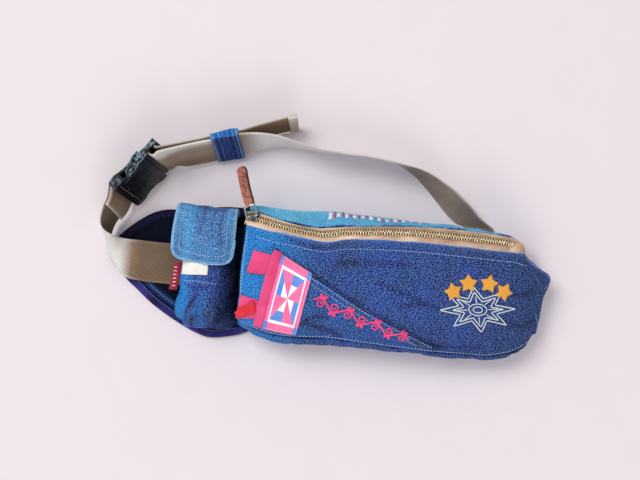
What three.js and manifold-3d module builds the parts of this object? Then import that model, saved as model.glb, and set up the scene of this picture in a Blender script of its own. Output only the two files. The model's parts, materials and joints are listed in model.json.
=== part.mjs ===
// Denim waist pack lying on its back panel, with its webbing belt buckled into a loop beside it.
// Millimetres. +X runs along the pack towards its right end, +Y towards its zipped top edge,
// +Z up, away from the back panel. The origin is on the flat back face, under the middle of the pack.
import * as THREE from 'three';
import { mergeVertices } from 'three/addons/utils/BufferGeometryUtils.js';
import Module from 'manifold-3d';

const wasm = await Module();
wasm.setup();

// ---------------------------------------------------------------- driving dimensions
const GAP = 0.3;                    // clearance between neighbouring pieces
const DENIM = 2.2;                  // thickness of a lined denim panel
const BODY_LEFT = -151.5;           // ends of the lofted body
const BODY_RIGHT = 142;
const LID_LEFT = -149.5;            // the top panel that opens with the zip
const LID_RIGHT = 104.5;
const BACK_THICK = 2.3;

const ZIP_Y = 57.25;                // middle of the chain
const ZIP_Z = 58.5;
const ZIP_TILT = Math.atan2(-4, 15.5);   // the zip slopes down towards the top panel
const ZIP_LEFT = -140;
const ZIP_RIGHT = 100;
const UPPER_ROW_RIGHT = 88;         // the upper row stops short of the slider's open position
const TOOTH_PITCH = 4;
const TAPE_HALF = 7.3;
const SLIDER_X = -145.5;             // middle of the slider at rest
const SLIDER_LENGTH = 11;

const PULLER_DIRECTION = new THREE.Vector3(-0.33, 0.94, 0.09).normalize();
const PULLER_ROLL = 0.5;            // the leather lies turned a little about its own length
const LEATHER_LENGTH = 35;
const LEATHER_WIDTH = 10;

const WING_THICK = 6;
const BINDING_WIDTH = 4;
const POCKET = { left: -213, right: -157, bottom: -56, top: 46, low: WING_THICK + GAP, high: 40 };
const FLAP_LEFT = -221;
const FLAP_RIGHT = -161;

const WEBBING = 1.6;                // thickness of the belt webbing
const WEB_HALF = 20;                // half of its 40 mm width
const LAYER_STEP = 3.6;             // from one webbing layer to the next

const BUCKLE_START = new THREE.Vector3(-275.3, 65.4, 25);   // middle of the female's bar end
const BUCKLE_ALONG = new THREE.Vector3(0.6, 0.8, 0);
const BUCKLE_LEAN = 26 * Math.PI / 180;                     // the buckle leans out of the loop
const BUCKLE_HALF_WIDTH = 24;
const BUCKLE_HALF_THICK = 6;
const FEMALE_LENGTH = 42;
const MALE_END = 61;

const KEEPER_LENGTH = 27;

// ---------------------------------------------------------------- finishes
const finish = (color, roughness, metalness = 0) => ({ color, roughness, metalness });
const FINISH = {
  denim: finish(0x32507f, 0.9),
  denim_light: finish(0x5a86bf, 0.9),
  denim_dark: finish(0x1c2848, 0.9),
  lining: finish(0x23283a, 0.85),
  padding: finish(0x8d8f96, 0.95),
  binding: finish(0x3c3278, 0.8),
  webbing: finish(0xa5917d, 0.85),
  zip_tape: finish(0xe1b991, 0.8),
  brass: finish(0x967d50, 0.4, 0.9),
  antique_metal: finish(0x8a8070, 0.35, 0.9),
  leather: finish(0xb87362, 0.6),
  plastic: finish(0x15161a, 0.4),
  ribbon: finish(0xe0285f, 0.6),
  cream: finish(0xf2e8d2, 0.85),
  patch: finish(0xd8447f, 0.8),
  red: finish(0xb0163a, 0.65),
};

// ---------------------------------------------------------------- small helpers
const pack = new THREE.Group();
const vec = (x, y, z) => new THREE.Vector3(x, y, z);

function place(name, geometry, finishName, parent = pack) {
  const material = new THREE.MeshStandardMaterial(FINISH[finishName]);
  const mesh = new THREE.Mesh(geometry, material);
  mesh.name = name;
  parent.add(mesh);
  return mesh;
}

function solidFrom(geometry) {
  const bare = geometry.clone();
  bare.deleteAttribute('normal');
  bare.deleteAttribute('uv');
  const merged = mergeVertices(bare, 1e-4);
  return new wasm.Manifold(new wasm.Mesh({
    numProp: 3,
    vertProperties: new Float32Array(merged.attributes.position.array),
    triVerts: new Uint32Array(merged.index.array),
  }));
}

function geometryFrom(solid) {
  const mesh = solid.getMesh();
  const geometry = new THREE.BufferGeometry();
  geometry.setAttribute('position', new THREE.BufferAttribute(mesh.vertProperties, 3));
  geometry.setIndex(new THREE.BufferAttribute(mesh.triVerts, 1));
  return geometry;
}

// A box given by its two corners.
function block(low, high) {
  const geometry = new THREE.BoxGeometry(high[0] - low[0], high[1] - low[1], high[2] - low[2]);
  geometry.translate((low[0] + high[0]) / 2, (low[1] + high[1]) / 2, (low[2] + high[2]) / 2);
  return geometry;
}

// A flat outline, given as [x, y] points, raised from one height to another.
function slab(points, low, high) {
  const shape = new THREE.Shape(points.map(([x, y]) => new THREE.Vector2(x, y)));
  const geometry = new THREE.ExtrudeGeometry(shape, { depth: high - low, bevelEnabled: false });
  geometry.translate(0, 0, low);
  return geometry;
}

// A smooth open curve through [x, y] points, as a list of [x, y] points.
function smooth(points, steps) {
  const curve = new THREE.CatmullRomCurve3(points.map(([x, y]) => vec(x, y, 0)), false, 'centripetal');
  return curve.getPoints(steps).map((p) => [p.x, p.y]);
}

// A closed solid from a grid of outer points and a matching grid of inner points.
function shell(outer, inner) {
  const rows = outer.length;
  const columns = outer[0].length;
  const positions = [];
  for (const grid of [outer, inner]) {
    for (const row of grid) for (const p of row) positions.push(p.x, p.y, p.z);
  }
  const at = (layer, i, j) => layer * rows * columns + i * columns + j;
  const index = [];
  const quad = (a, b, c, d) => index.push(a, b, c, a, c, d);
  for (let i = 0; i < rows - 1; i += 1) {
    for (let j = 0; j < columns - 1; j += 1) {
      quad(at(0, i, j), at(0, i + 1, j), at(0, i + 1, j + 1), at(0, i, j + 1));
      quad(at(1, i, j), at(1, i, j + 1), at(1, i + 1, j + 1), at(1, i + 1, j));
    }
  }
  for (let i = 0; i < rows - 1; i += 1) {
    quad(at(0, i, 0), at(1, i, 0), at(1, i + 1, 0), at(0, i + 1, 0));
    const j = columns - 1;
    quad(at(0, i, j), at(0, i + 1, j), at(1, i + 1, j), at(1, i, j));
  }
  for (let j = 0; j < columns - 1; j += 1) {
    quad(at(0, 0, j), at(0, 0, j + 1), at(1, 0, j + 1), at(1, 0, j));
    const i = rows - 1;
    quad(at(0, i, j), at(1, i, j), at(1, i, j + 1), at(0, i, j + 1));
  }
  const geometry = new THREE.BufferGeometry();
  geometry.setAttribute('position', new THREE.Float32BufferAttribute(positions, 3));
  geometry.setIndex(index);
  return geometry;
}

// A panel that follows surface(u, v), between two depths below it. u and v run from 0 to 1.
function panel(surface, nu, nv, depthOut, depthIn) {
  const step = 1e-3;
  const grids = [[], []];
  for (let i = 0; i <= nu; i += 1) {
    const rows = [[], []];
    for (let j = 0; j <= nv; j += 1) {
      const u = i / nu;
      const v = j / nv;
      const p = surface(u, v);
      const du = surface(u + step, v).sub(surface(u - step, v));
      const dv = surface(u, v + step).sub(surface(u, v - step));
      const inward = dv.cross(du).normalize();
      rows[0].push(p.clone().addScaledVector(inward, depthOut));
      rows[1].push(p.clone().addScaledVector(inward, depthIn));
    }
    grids[0].push(rows[0]);
    grids[1].push(rows[1]);
  }
  return shell(grids[0], grids[1]);
}

// ---------------------------------------------------------------- body surface
// The body is a loft. Each station gives, for one x, the [y, z] points round the section:
// back edge, gusset bulge, front seam, crown, lower zip edge, upper zip edge, top fold, back edge.
const ZIP_LOW = [49.5, 60.5];
const ZIP_HIGH = [65, 56.5];
const FOLD = [70, 32];
const FLOOR_Z = BACK_THICK + GAP;
const STATIONS = [
  {
    x: -152,
    ring: [[-46, FLOOR_Z], [-50, 25], [-46, 44], [-4, 60], ZIP_LOW, ZIP_HIGH, FOLD, [64, FLOOR_Z]],
  },
  {
    x: -120,
    ring: [[-50, FLOOR_Z], [-59, 27], [-52, 48], [-5, 67], ZIP_LOW, ZIP_HIGH, FOLD, [64, FLOOR_Z]],
  },
  {
    x: -60,
    ring: [[-50, FLOOR_Z], [-59, 27], [-51.5, 50], [-6, 71], ZIP_LOW, ZIP_HIGH, FOLD, [64, FLOOR_Z]],
  },
  {
    x: 0,
    ring: [[-50, FLOOR_Z], [-58.5, 27], [-53, 48], [-6, 70], ZIP_LOW, ZIP_HIGH, FOLD, [64, FLOOR_Z]],
  },
  {
    x: 60,
    ring: [[-50, FLOOR_Z], [-58, 26], [-54, 43], [-6, 66], ZIP_LOW, ZIP_HIGH, FOLD, [64, FLOOR_Z]],
  },
  {
    x: 104,
    ring: [[-46, FLOOR_Z], [-54, 24], [-50, 38], [-4, 58], ZIP_LOW, ZIP_HIGH, FOLD, [63, FLOOR_Z]],
  },
  {
    x: 128,
    ring: [[-36, FLOOR_Z], [-42, 21], [-38, 33], [0, 46], [38, 46], [50, 42], [54, 26], [49, FLOOR_Z]],
  },
  {
    x: 143,
    ring: [[-24, FLOOR_Z], [-27, 18], [-24, 27], [3, 34], [25, 34], [32, 31], [35, 20], [33, FLOOR_Z]],
  },
];
const KEYS = STATIONS[0].ring.length;
const ringCurves = Array.from({ length: KEYS }, (_, k) => new THREE.CatmullRomCurve3(
  STATIONS.map(({ x, ring }) => vec(x, ring[k][0], ring[k][1])), false, 'centripetal'));

// The point of one key's lengthwise curve at a given x.
function keyPoint(k, x) {
  const [first, last] = [STATIONS[0].x, STATIONS[STATIONS.length - 1].x];
  const i = Math.min(STATIONS.length - 2, Math.max(0, STATIONS.findIndex((s) => s.x > x) - 1));
  if (x <= first || x >= last) return vec(x, ...STATIONS[x <= first ? 0 : STATIONS.length - 1].ring[k]);
  const count = STATIONS.length - 1;
  let low = i / count;
  let high = (i + 1) / count;
  for (let n = 0; n < 24; n += 1) {
    const middle = (low + high) / 2;
    if (ringCurves[k].getPoint(middle).x < x) low = middle; else high = middle;
  }
  const p = ringCurves[k].getPoint((low + high) / 2);
  return vec(x, p.y, p.z);
}

// Straight between the keys at the seams, rounded at the gusset bulge and the crown.
function body(x, t) {
  const k = Math.min(KEYS - 2, Math.max(0, Math.floor(t)));
  const f = t - k;
  const arcs = { 0: [0, 1, 2, 0], 1: [0, 1, 2, 1], 2: [2, 3, 4, 0], 3: [2, 3, 4, 1] };
  if (!(k in arcs)) return keyPoint(k, x).lerp(keyPoint(k + 1, x), f);
  const [a, b, c, half] = arcs[k];
  const s = (f + half) / 2;
  const [p, q, r] = [keyPoint(a, x), keyPoint(b, x), keyPoint(c, x)];
  const wa = 2 * (s - 0.5) * (s - 1);
  const wb = 4 * s * (1 - s);
  const wc = 2 * s * (s - 0.5);
  return vec(x, wa * p.y + wb * q.y + wc * r.y, wa * p.z + wb * q.z + wc * r.z);
}

const span = (a, b, f) => a + (b - a) * f;
function bodyPanel(x0, x1, t0, t1, nu, nv, depthOut = 0, depthIn = DENIM) {
  return panel((u, v) => body(span(x0, x1, u), span(t0, t1, v)), nu, nv, depthOut, depthIn);
}

// The point of the front that lies over (x, y), seen from the front.
function front(x, y) {
  let low = 2;
  let high = 4;
  for (let n = 0; n < 24; n += 1) {
    const middle = (low + high) / 2;
    if (body(x, middle).y < y) low = middle; else high = middle;
  }
  return body(x, (low + high) / 2);
}

// A patch sewn to the front: its four corners [x, y] are lower left, lower right, upper left, upper right.
function frontPatch(corners, nu, nv, height, thickness) {
  const [a, b, c, d] = corners;
  const over = (u, v) => front(
    span(span(a[0], b[0], u), span(c[0], d[0], u), v),
    span(span(a[1], b[1], u), span(c[1], d[1], u), v));
  return panel(over, nu, nv, -height - thickness, -height);
}

// A closed end plate with the body's outline at x, from x to x + thickness.
function endPlate(x, thickness) {
  const outline = [];
  for (let t = 0; t < KEYS - 1; t += 0.25) outline.push(body(x, t));
  outline.push(body(x, KEYS - 1));
  const geometry = slab(outline.map((p) => [p.y, p.z]), 0, Math.abs(thickness));
  geometry.applyMatrix4(new THREE.Matrix4().makeBasis(vec(0, 1, 0), vec(0, 0, 1), vec(1, 0, 0)));
  geometry.translate(thickness > 0 ? x + GAP : x + thickness - GAP, 0, 0);
  return geometry;
}

// ---------------------------------------------------------------- body panels
function roundedRectangle(x0, x1, y0, y1, radius) {
  const points = [];
  const corners = [[x1 - radius, y0 + radius, -90], [x1 - radius, y1 - radius, 0],
    [x0 + radius, y1 - radius, 90], [x0 + radius, y0 + radius, 180]];
  for (const [cx, cy, start] of corners) {
    for (let k = 0; k <= 5; k += 1) {
      const angle = (start + k * 18) * Math.PI / 180;
      points.push([cx + radius * Math.cos(angle), cy + radius * Math.sin(angle)]);
    }
  }
  return points;
}

// The back panel has the outline of the body's back edge.
function backOutline() {
  const low = [];
  const high = [];
  for (let k = 0; k <= 24; k += 1) {
    const x = span(BODY_LEFT, BODY_RIGHT, k / 24);
    low.push([x, body(x, 0).y]);
    high.push([x, body(x, KEYS - 1).y]);
  }
  return [[-154, -46], ...low, ...high.reverse(), [-154, 64]];
}

function makeBody() {
  place('back_panel', slab(backOutline(), 0, BACK_THICK), 'denim_dark');
  place('back_padding', slab(roundedRectangle(-144, 106, -40, 49, 12), BACK_THICK + GAP, 7), 'padding');
  place('bottom_gusset', bodyPanel(BODY_LEFT, BODY_RIGHT, 0, 1.97, 24, 6), 'denim');
  place('front_panel', bodyPanel(BODY_LEFT, BODY_RIGHT, 2.03, 3.97, 28, 10), 'denim');
  const lining = bodyPanel(BODY_LEFT + 3, LID_RIGHT, 2.15, 3.9, 16, 8, DENIM + 0.7, DENIM + 1.6);
  place('front_lining', lining, 'lining');
  place('top_gusset', bodyPanel(BODY_LEFT, LID_RIGHT, 6.04, 6.98, 16, 3), 'denim_light');
  place('right_shoulder', bodyPanel(LID_RIGHT + 1, BODY_RIGHT, 4.04, 6.98, 8, 9), 'denim');
  place('left_gusset', endPlate(BODY_LEFT, -DENIM), 'denim_dark');
  place('right_gusset', endPlate(BODY_RIGHT, DENIM), 'denim');
}

// The slant pocket covers the lower left of the front. Its mouth runs down to the right.
const SLANT_LEFT = -121;
const SLANT_RIGHT = 44;
function makeFrontTrim() {
  const slantTop = (x) => span(27, -49, Math.max(0, (x - SLANT_LEFT) / (SLANT_RIGHT - SLANT_LEFT)));
  const over = (u, v) => {
    const x = span(-147, SLANT_RIGHT - 6, u);
    const low = body(x, 2.08);
    return front(x, span(low.y, slantTop(x), v));
  };
  place('slant_pocket', panel(over, 24, 7, -1.5, -GAP), 'denim');
  const lift = 1.8;
  const quiltCorners = [[-126, -45.4], [-93, -48], [-113.5, 24.5], [-84, 9.5]];
  place('quilt_patch', frontPatch(quiltCorners, 8, 10, lift, 0.8), 'patch');
  const bandCorners = [[-135, -44.5], [-126.4, -45.3], [-121.5, 26], [-114, 24.6]];
  place('patch_band', frontPatch(bandCorners, 3, 10, lift, 0.8), 'ribbon');
  const upperCorners = [[-144, 5], [-129, 4.5], [-140, 25], [-125, 22]];
  place('ribbon_upper', frontPatch(upperCorners, 4, 4, lift, 0.9), 'ribbon');
  const lowerCorners = [[-149, -38], [-134.5, -37.5], [-148, -19], [-132, -21]];
  place('ribbon_lower', frontPatch(lowerCorners, 4, 4, lift, 0.9), 'ribbon');
}

// ---------------------------------------------------------------- zip
// Zip pieces are drawn in a frame whose x runs along the zip, y across it and z out of it.
const zipFrame = new THREE.Matrix4()
  .makeTranslation(0, ZIP_Y, ZIP_Z)
  .multiply(new THREE.Matrix4().makeRotationX(ZIP_TILT));

function zipPiece(name, geometry, finishName) {
  geometry.applyMatrix4(zipFrame);
  place(name, geometry, finishName);
}

// A row of teeth on its cord: one comb. side is -1 for the lower row and +1 for the upper one.
function toothRow(side, left, right) {
  const inner = 0.8;
  const back = 2.4;
  const toothWidth = TOOTH_PITCH / 2 - 0.5;
  const phase = side > 0 ? TOOTH_PITCH / 2 : 0;
  const points = [[left, side * back], [left, side * inner]];
  const count = Math.floor((right - left) / TOOTH_PITCH) - 1;
  for (let k = 0; k < count; k += 1) {
    const x = left + 1 + phase + k * TOOTH_PITCH;
    points.push([x, side * inner], [x, -side * 0.5]);
    points.push([x + toothWidth, -side * 0.5], [x + toothWidth, side * inner]);
  }
  points.push([right, side * inner], [right, side * back]);
  return slab(side < 0 ? points : points.reverse(), -1.1, 1.1);
}

function makeZip() {
  const rim = 0.4;
  zipPiece('tape_lower', block([LID_LEFT, -TAPE_HALF, -rim], [LID_RIGHT, -2.7, rim]), 'zip_tape');
  zipPiece('tape_upper', block([ZIP_LEFT, 2.7, -rim], [UPPER_ROW_RIGHT, TAPE_HALF, rim]), 'zip_tape');
  zipPiece('teeth_lower', toothRow(-1, ZIP_LEFT, ZIP_RIGHT), 'brass');
  zipPiece('teeth_upper', toothRow(1, ZIP_LEFT, UPPER_ROW_RIGHT), 'brass');
  zipPiece('zip_stop', block([ZIP_RIGHT + 0.5, -2.2, -1], [ZIP_RIGHT + 2.5, 2.2, 1]), 'brass');
  place('top_panel', bodyPanel(LID_LEFT, LID_RIGHT, 5.04, 5.96, 16, 4), 'denim_light');
}

// The slider's two plates, joined by its wedge in life; the chain here never parts, so the wedge is left out.
function makeSlider() {
  const plateProfile = [[-4.5, 0.8], [-3.6, 0.8], [-3.6, 1.6], [3.6, 1.6], [3.6, 0.8], [4.5, 0.8],
    [4.5, 2.8], [-4.5, 2.8]];
  const toX = new THREE.Matrix4().makeBasis(vec(0, 1, 0), vec(0, 0, 1), vec(1, 0, 0));
  const plate = () => slab(plateProfile, SLIDER_X - SLIDER_LENGTH / 2, SLIDER_X + SLIDER_LENGTH / 2);
  const top = plate().applyMatrix4(toX);
  const base = plate().applyMatrix4(toX);
  base.applyMatrix4(new THREE.Matrix4().makeRotationX(Math.PI));
  top.applyMatrix4(zipFrame);
  base.applyMatrix4(zipFrame);
  place('slider_base', base, 'antique_metal');

  const arch = slab([[-3.3, -0.6], [-1.9, -0.6], [-1.9, 3.6], [1.9, 3.6], [1.9, -0.6], [3.3, -0.6],
    [3.3, 3.9], [2.2, 5.1], [-2.2, 5.1], [-3.3, 3.9]], -2, 2);
  arch.applyMatrix4(pullerFrame(PULLER_BAR.clone().add(vec(0, 0, -2.2)), 0));
  place('slider_body', geometryFrom(solidFrom(top).add(solidFrom(arch))), 'antique_metal');
}

// The puller's frame: x along the puller, y out of the bail, z along the bar that it turns on.
const PULLER_BAR = vec(SLIDER_X, ZIP_Y, ZIP_Z + 4.8);
function pullerFrame(origin, roll) {
  const across = new THREE.Vector3().crossVectors(PULLER_DIRECTION, vec(0, 0, 1)).normalize();
  const out = new THREE.Vector3().crossVectors(across, PULLER_DIRECTION);
  const matrix = new THREE.Matrix4().makeBasis(PULLER_DIRECTION, out, across);
  return new THREE.Matrix4().makeTranslation(origin.x, origin.y, origin.z)
    .multiply(matrix)
    .multiply(new THREE.Matrix4().makeRotationX(roll));
}

function makePuller() {
  const half = 0.8;
  const bail = new THREE.Shape();
  const corners = [[-half, -5.8], [11.2, -5.8], [11.2, 5.8], [-half, 5.8]];
  bail.setFromPoints(corners.map(([x, y]) => new THREE.Vector2(x, y)));
  const hole = [[half, -4.2], [half, 4.2], [9.6, 4.2], [9.6, -4.2]];
  bail.holes.push(new THREE.Path(hole.map(([x, y]) => new THREE.Vector2(x, y))));
  const wire = new THREE.ExtrudeGeometry(bail, { depth: 2 * half, bevelEnabled: false });
  wire.translate(0, 0, -half);
  wire.applyMatrix4(new THREE.Matrix4().makeRotationX(Math.PI / 2));
  wire.applyMatrix4(pullerFrame(PULLER_BAR, 0));
  place('puller_bail', wire, 'antique_metal');

  const end = 11.6 + LEATHER_LENGTH;
  const halfWidth = LEATHER_WIDTH / 2;
  const outline = [[11.6, -halfWidth + 1], [11.6, halfWidth - 1], [15, halfWidth]];
  for (let k = 0; k <= 8; k += 1) {
    const angle = Math.PI / 2 - k * Math.PI / 8;
    outline.push([end - halfWidth + halfWidth * Math.cos(angle), halfWidth * Math.sin(angle)]);
  }
  outline.push([15, -halfWidth]);
  const leather = slab(outline.reverse(), -1.3, 1.3);
  leather.applyMatrix4(new THREE.Matrix4().makeRotationX(Math.PI / 2));
  leather.applyMatrix4(pullerFrame(PULLER_BAR, PULLER_ROLL));
  place('leather_puller', leather, 'leather');
}

// ---------------------------------------------------------------- wing and side pocket
// Outline of the wing's free edge, from where it leaves the body's lower corner round to the upper one.
const WING_EDGE = [[-154.5, -62], [-178, -66], [-194, -62.5], [-210, -55.5], [-226, -47], [-242, -37],
  [-257, -25], [-269, -15], [-280, 4], [-282, 20], [-275, 30], [-263, 41], [-249, 51], [-236, 56],
  [-224, 56.5], [-200, 56], [-154.5, 53]];

function makeWing() {
  const outer = smooth(WING_EDGE, 48);
  const middle = [-205, -4];
  const inset = (distance) => outer.map(([x, y]) => {
    const reach = Math.hypot(x - middle[0], y - middle[1]);
    const scale = 1 - distance / reach;
    return [Math.min(-154.5, middle[0] + (x - middle[0]) * scale), middle[1] + (y - middle[1]) * scale];
  });
  place('left_wing', slab(inset(BINDING_WIDTH + GAP).reverse(), 0, WING_THICK), 'denim_dark');
  const rim = [...outer, ...inset(BINDING_WIDTH).reverse()];
  place('wing_binding', slab(rim.reverse(), 0, WING_THICK), 'binding');
}

// The pocket's cross-section, seen along it: square at the wing, rounded over the front.
function pocketProfile(inset, low) {
  const radius = 11 - inset;
  const [x0, x1, z1] = [POCKET.left + inset, POCKET.right - inset, POCKET.high - inset];
  const points = [[x0, low], [x1, low]];
  for (const [cx, start] of [[x1 - radius, 0], [x0 + radius, 90]]) {
    for (let k = 0; k <= 4; k += 1) {
      const angle = (start + k * 22.5) * Math.PI / 180;
      points.push([cx + radius * Math.cos(angle), z1 - radius + radius * Math.sin(angle)]);
    }
  }
  return points;
}

function alongY(points, y0, y1) {
  const geometry = slab(points, 0, y1 - y0);
  geometry.applyMatrix4(new THREE.Matrix4().makeBasis(vec(1, 0, 0), vec(0, 0, 1), vec(0, -1, 0)));
  geometry.translate(0, y1, 0);
  return geometry;
}

function makePocket() {
  const outer = alongY(pocketProfile(0, POCKET.low), POCKET.bottom, POCKET.top);
  const room = alongY(pocketProfile(DENIM, POCKET.low - 2), POCKET.bottom + DENIM, POCKET.top + 4);
  place('side_pocket', geometryFrom(solidFrom(outer).subtract(solidFrom(room))), 'denim');

  const stripHigh = POCKET.high + GAP + 1.1;
  place('pocket_loop_strip', block([-211, -4, POCKET.high + GAP], [-184, 30, stripHigh]), 'cream');
  place('side_tab', block([POCKET.left - GAP - 7, -21, 26], [POCKET.left - GAP, 6, 27.4]), 'red');

  // The flap runs up from its seam on the wing, over the pocket's mouth and down its front.
  const profile = new THREE.CatmullRomCurve3(
    [vec(0, 57.5, 8), vec(0, 59, 24), vec(0, 54, 39), vec(0, 40, 44.3), vec(0, 24, 45.2), vec(0, 8, 44.9)],
    false, 'centripetal');
  const cornerRadius = 14;
  const over = (u, v) => {
    const p = profile.getPoint(Math.min(1, Math.max(0, u)));
    const toEnd = Math.max(0, p.y - 8);
    const round = p.z > 30 && toEnd < cornerRadius
      ? cornerRadius - Math.sqrt(cornerRadius ** 2 - (cornerRadius - toEnd) ** 2) : 0;
    return vec(span(FLAP_LEFT + round, FLAP_RIGHT - round, v), p.y, p.z);
  };
  place('pocket_flap', panel(over, 20, 6, 0, DENIM), 'denim_light');
  place('flap_hook_strip', block([-205, 12, 41.75], [-190, 32, 42.4]), 'cream');
}

// ---------------------------------------------------------------- belt
const buckleOut = vec(-BUCKLE_ALONG.y, BUCKLE_ALONG.x, 0);
const buckleWide = vec(0, 0, Math.cos(BUCKLE_LEAN)).addScaledVector(buckleOut, Math.sin(BUCKLE_LEAN));
const buckleThrough = new THREE.Vector3().crossVectors(BUCKLE_ALONG, buckleWide);
const buckleFrame = new THREE.Matrix4()
  .makeTranslation(BUCKLE_START.x, BUCKLE_START.y, BUCKLE_START.z)
  .multiply(new THREE.Matrix4().makeBasis(BUCKLE_ALONG, buckleWide, buckleThrough));
const inBuckle = (s, w, n) => vec(s, w, n).applyMatrix4(buckleFrame);

// A webbing band is ruled between a lower and an upper edge: each station is [lower, upper].
function webbing(stations, steps) {
  const lower = new THREE.CatmullRomCurve3(stations.map((s) => s[0]), false, 'centripetal');
  const upper = new THREE.CatmullRomCurve3(stations.map((s) => s[1]), false, 'centripetal');
  const surface = (u, v) => {
    const f = Math.min(1, Math.max(0, u));
    return lower.getPoint(f).lerp(upper.getPoint(f), v);
  };
  const grids = [[], []];
  for (let i = 0; i <= steps; i += 1) {
    const u = i / steps;
    const along = surface(u + 0.002, 0.5).sub(surface(u - 0.002, 0.5));
    const wide = surface(u, 1).sub(surface(u, 0));
    const through = new THREE.Vector3().crossVectors(along, wide).normalize().multiplyScalar(WEBBING / 2);
    const ends = [surface(u, 0), surface(u, 1)];
    grids[0].push(ends.map((p) => p.clone().add(through)));
    grids[1].push(ends.map((p) => p.clone().sub(through)));
  }
  return shell(grids[0], grids[1]);
}

// The same stations moved sideways by distance, to lay one layer on another.
function layer(stations, distance) {
  return stations.map(([low, high], i) => {
    const before = stations[Math.max(0, i - 1)];
    const after = stations[Math.min(stations.length - 1, i + 1)];
    const along = after[0].clone().add(after[1]).sub(before[0]).sub(before[1]);
    const through = along.cross(high.clone().sub(low)).normalize().multiplyScalar(distance);
    return [low.clone().add(through), high.clone().add(through)];
  });
}

const sewnLeft = [[vec(-216, -17, 9), vec(-220, 23, 9)], [vec(-233, -17.2, 9.2), vec(-237, 23, 9.2)]];
const strapLeft = [
  [vec(-233.4, -17.2, 9.2), vec(-237.4, 23, 9.2)],
  [vec(-250, -17, 10), vec(-254, 23.2, 11)],
  [vec(-268, -14, 11), vec(-271, 23.5, 19)],
  [vec(-281, -2, 8), vec(-280.5, 26.5, 35)],
  [vec(-289, 11, 6), vec(-287.5, 30.6, 41)],
  [vec(-287, 24.5, 6), vec(-291, 38, 43)],
  [vec(-282.5, 39, 6.5), vec(-289.5, 52.6, 43)],
  [vec(-275.5, 50, 7), vec(-286.5, 62.6, 43)],
  [inBuckle(-1, -WEB_HALF, 0), inBuckle(-1, WEB_HALF, 0)],
];
const strapStraight = [
  [vec(-216, 101.5, 6.5), vec(-222, 118.5, 41)],
  [vec(-189, 110, 6), vec(-195, 127, 41.5)],
  [vec(-163, 118.2, 6), vec(-167, 135.8, 41.5)],
];
const strapRight = [
  [inBuckle(51.5, -WEB_HALF, 6.9), inBuckle(51.5, WEB_HALF, 6.9)],
  ...strapStraight,
  [vec(-147, 125, 4), vec(-147, 138.5, 41)],
  [vec(-129, 130, 1.6), vec(-128.5, 137.5, 40.5)],
  [vec(-109, 130.5, 1), vec(-108.5, 132.5, 41)],
  [vec(-84, 130, 1), vec(-84, 128, 41)],
  [vec(-59, 130.5, 1), vec(-60, 126.5, 41)],
  [vec(-34, 129.3, 1), vec(-35.5, 126.3, 41)],
  [vec(-8.5, 124, 1), vec(-11, 123.3, 40.5)],
  [vec(8, 115, 1), vec(5, 121, 39.5)],
  [vec(24.7, 99.5, 1), vec(21, 116, 36)],
  [vec(41, 82.5, 1), vec(41, 106, 31)],
  [vec(50, 75, 1), vec(61, 92, 24)],
  [vec(55, 72, 1.1), vec(76, 79.5, 13)],
  [vec(60, 71, 1.4), vec(90, 71.5, 3.4)],
];
const strapTail = [
  [inBuckle(58, -WEB_HALF, 7.4), inBuckle(58, WEB_HALF, 7.4)],
  ...layer(strapStraight, -LAYER_STEP),
  [vec(-150, 132.5, 3), vec(-151.5, 145.5, 40)],
  [vec(-136, 141.5, 2), vec(-138, 150.5, 39.5)],
  [vec(-112, 149.5, 2), vec(-114.5, 159.5, 39)],
];

function makeBelt() {
  place('strap_sewn_left', webbing(sewnLeft, 4), 'webbing');
  place('strap_left', webbing(strapLeft, 48), 'webbing');
  place('strap_fold', webbing(layer(strapLeft.slice(-3), 2.2), 14), 'webbing');
  place('strap_right', webbing(strapRight, 80), 'webbing');
  place('strap_tail', webbing(strapTail, 40), 'webbing');
  place('strap_anchor', slab([[54, 65], [98, 65], [94, 70.2], [58, 70.2]], 0.2, BACK_THICK), 'denim_dark');

  const along = strapStraight[2][0].clone().sub(strapStraight[0][0]).setZ(0).normalize();
  const lean = strapStraight[1][1].clone().sub(strapStraight[1][0]);
  const wide = lean.addScaledVector(along, -lean.dot(along)).normalize();
  const through = new THREE.Vector3().crossVectors(along, wide);
  const [halfIn, halfWideIn, wall] = [4.1, 21, 1.7];
  const loop = solidFrom(block(
    [-KEEPER_LENGTH / 2, -halfWideIn - wall, -halfIn - wall],
    [KEEPER_LENGTH / 2, halfWideIn + wall, halfIn + wall]));
  const room = solidFrom(block(
    [-KEEPER_LENGTH, -halfWideIn, -halfIn],
    [KEEPER_LENGTH, halfWideIn, halfIn]));
  const keeper = geometryFrom(loop.subtract(room));
  keeper.applyMatrix4(new THREE.Matrix4().makeBasis(along, wide, through));
  const middle = through.clone().multiplyScalar(-LAYER_STEP / 2);
  for (const point of strapStraight.slice(1).flat()) middle.addScaledVector(point, 0.25);
  keeper.translate(middle.x, middle.y, middle.z);
  place('keeper_loop', keeper, 'denim');
}

// ---------------------------------------------------------------- side-release buckle
function bucklePiece(name, geometry) {
  geometry.applyMatrix4(buckleFrame);
  place(name, geometry, 'plastic');
}

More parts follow.
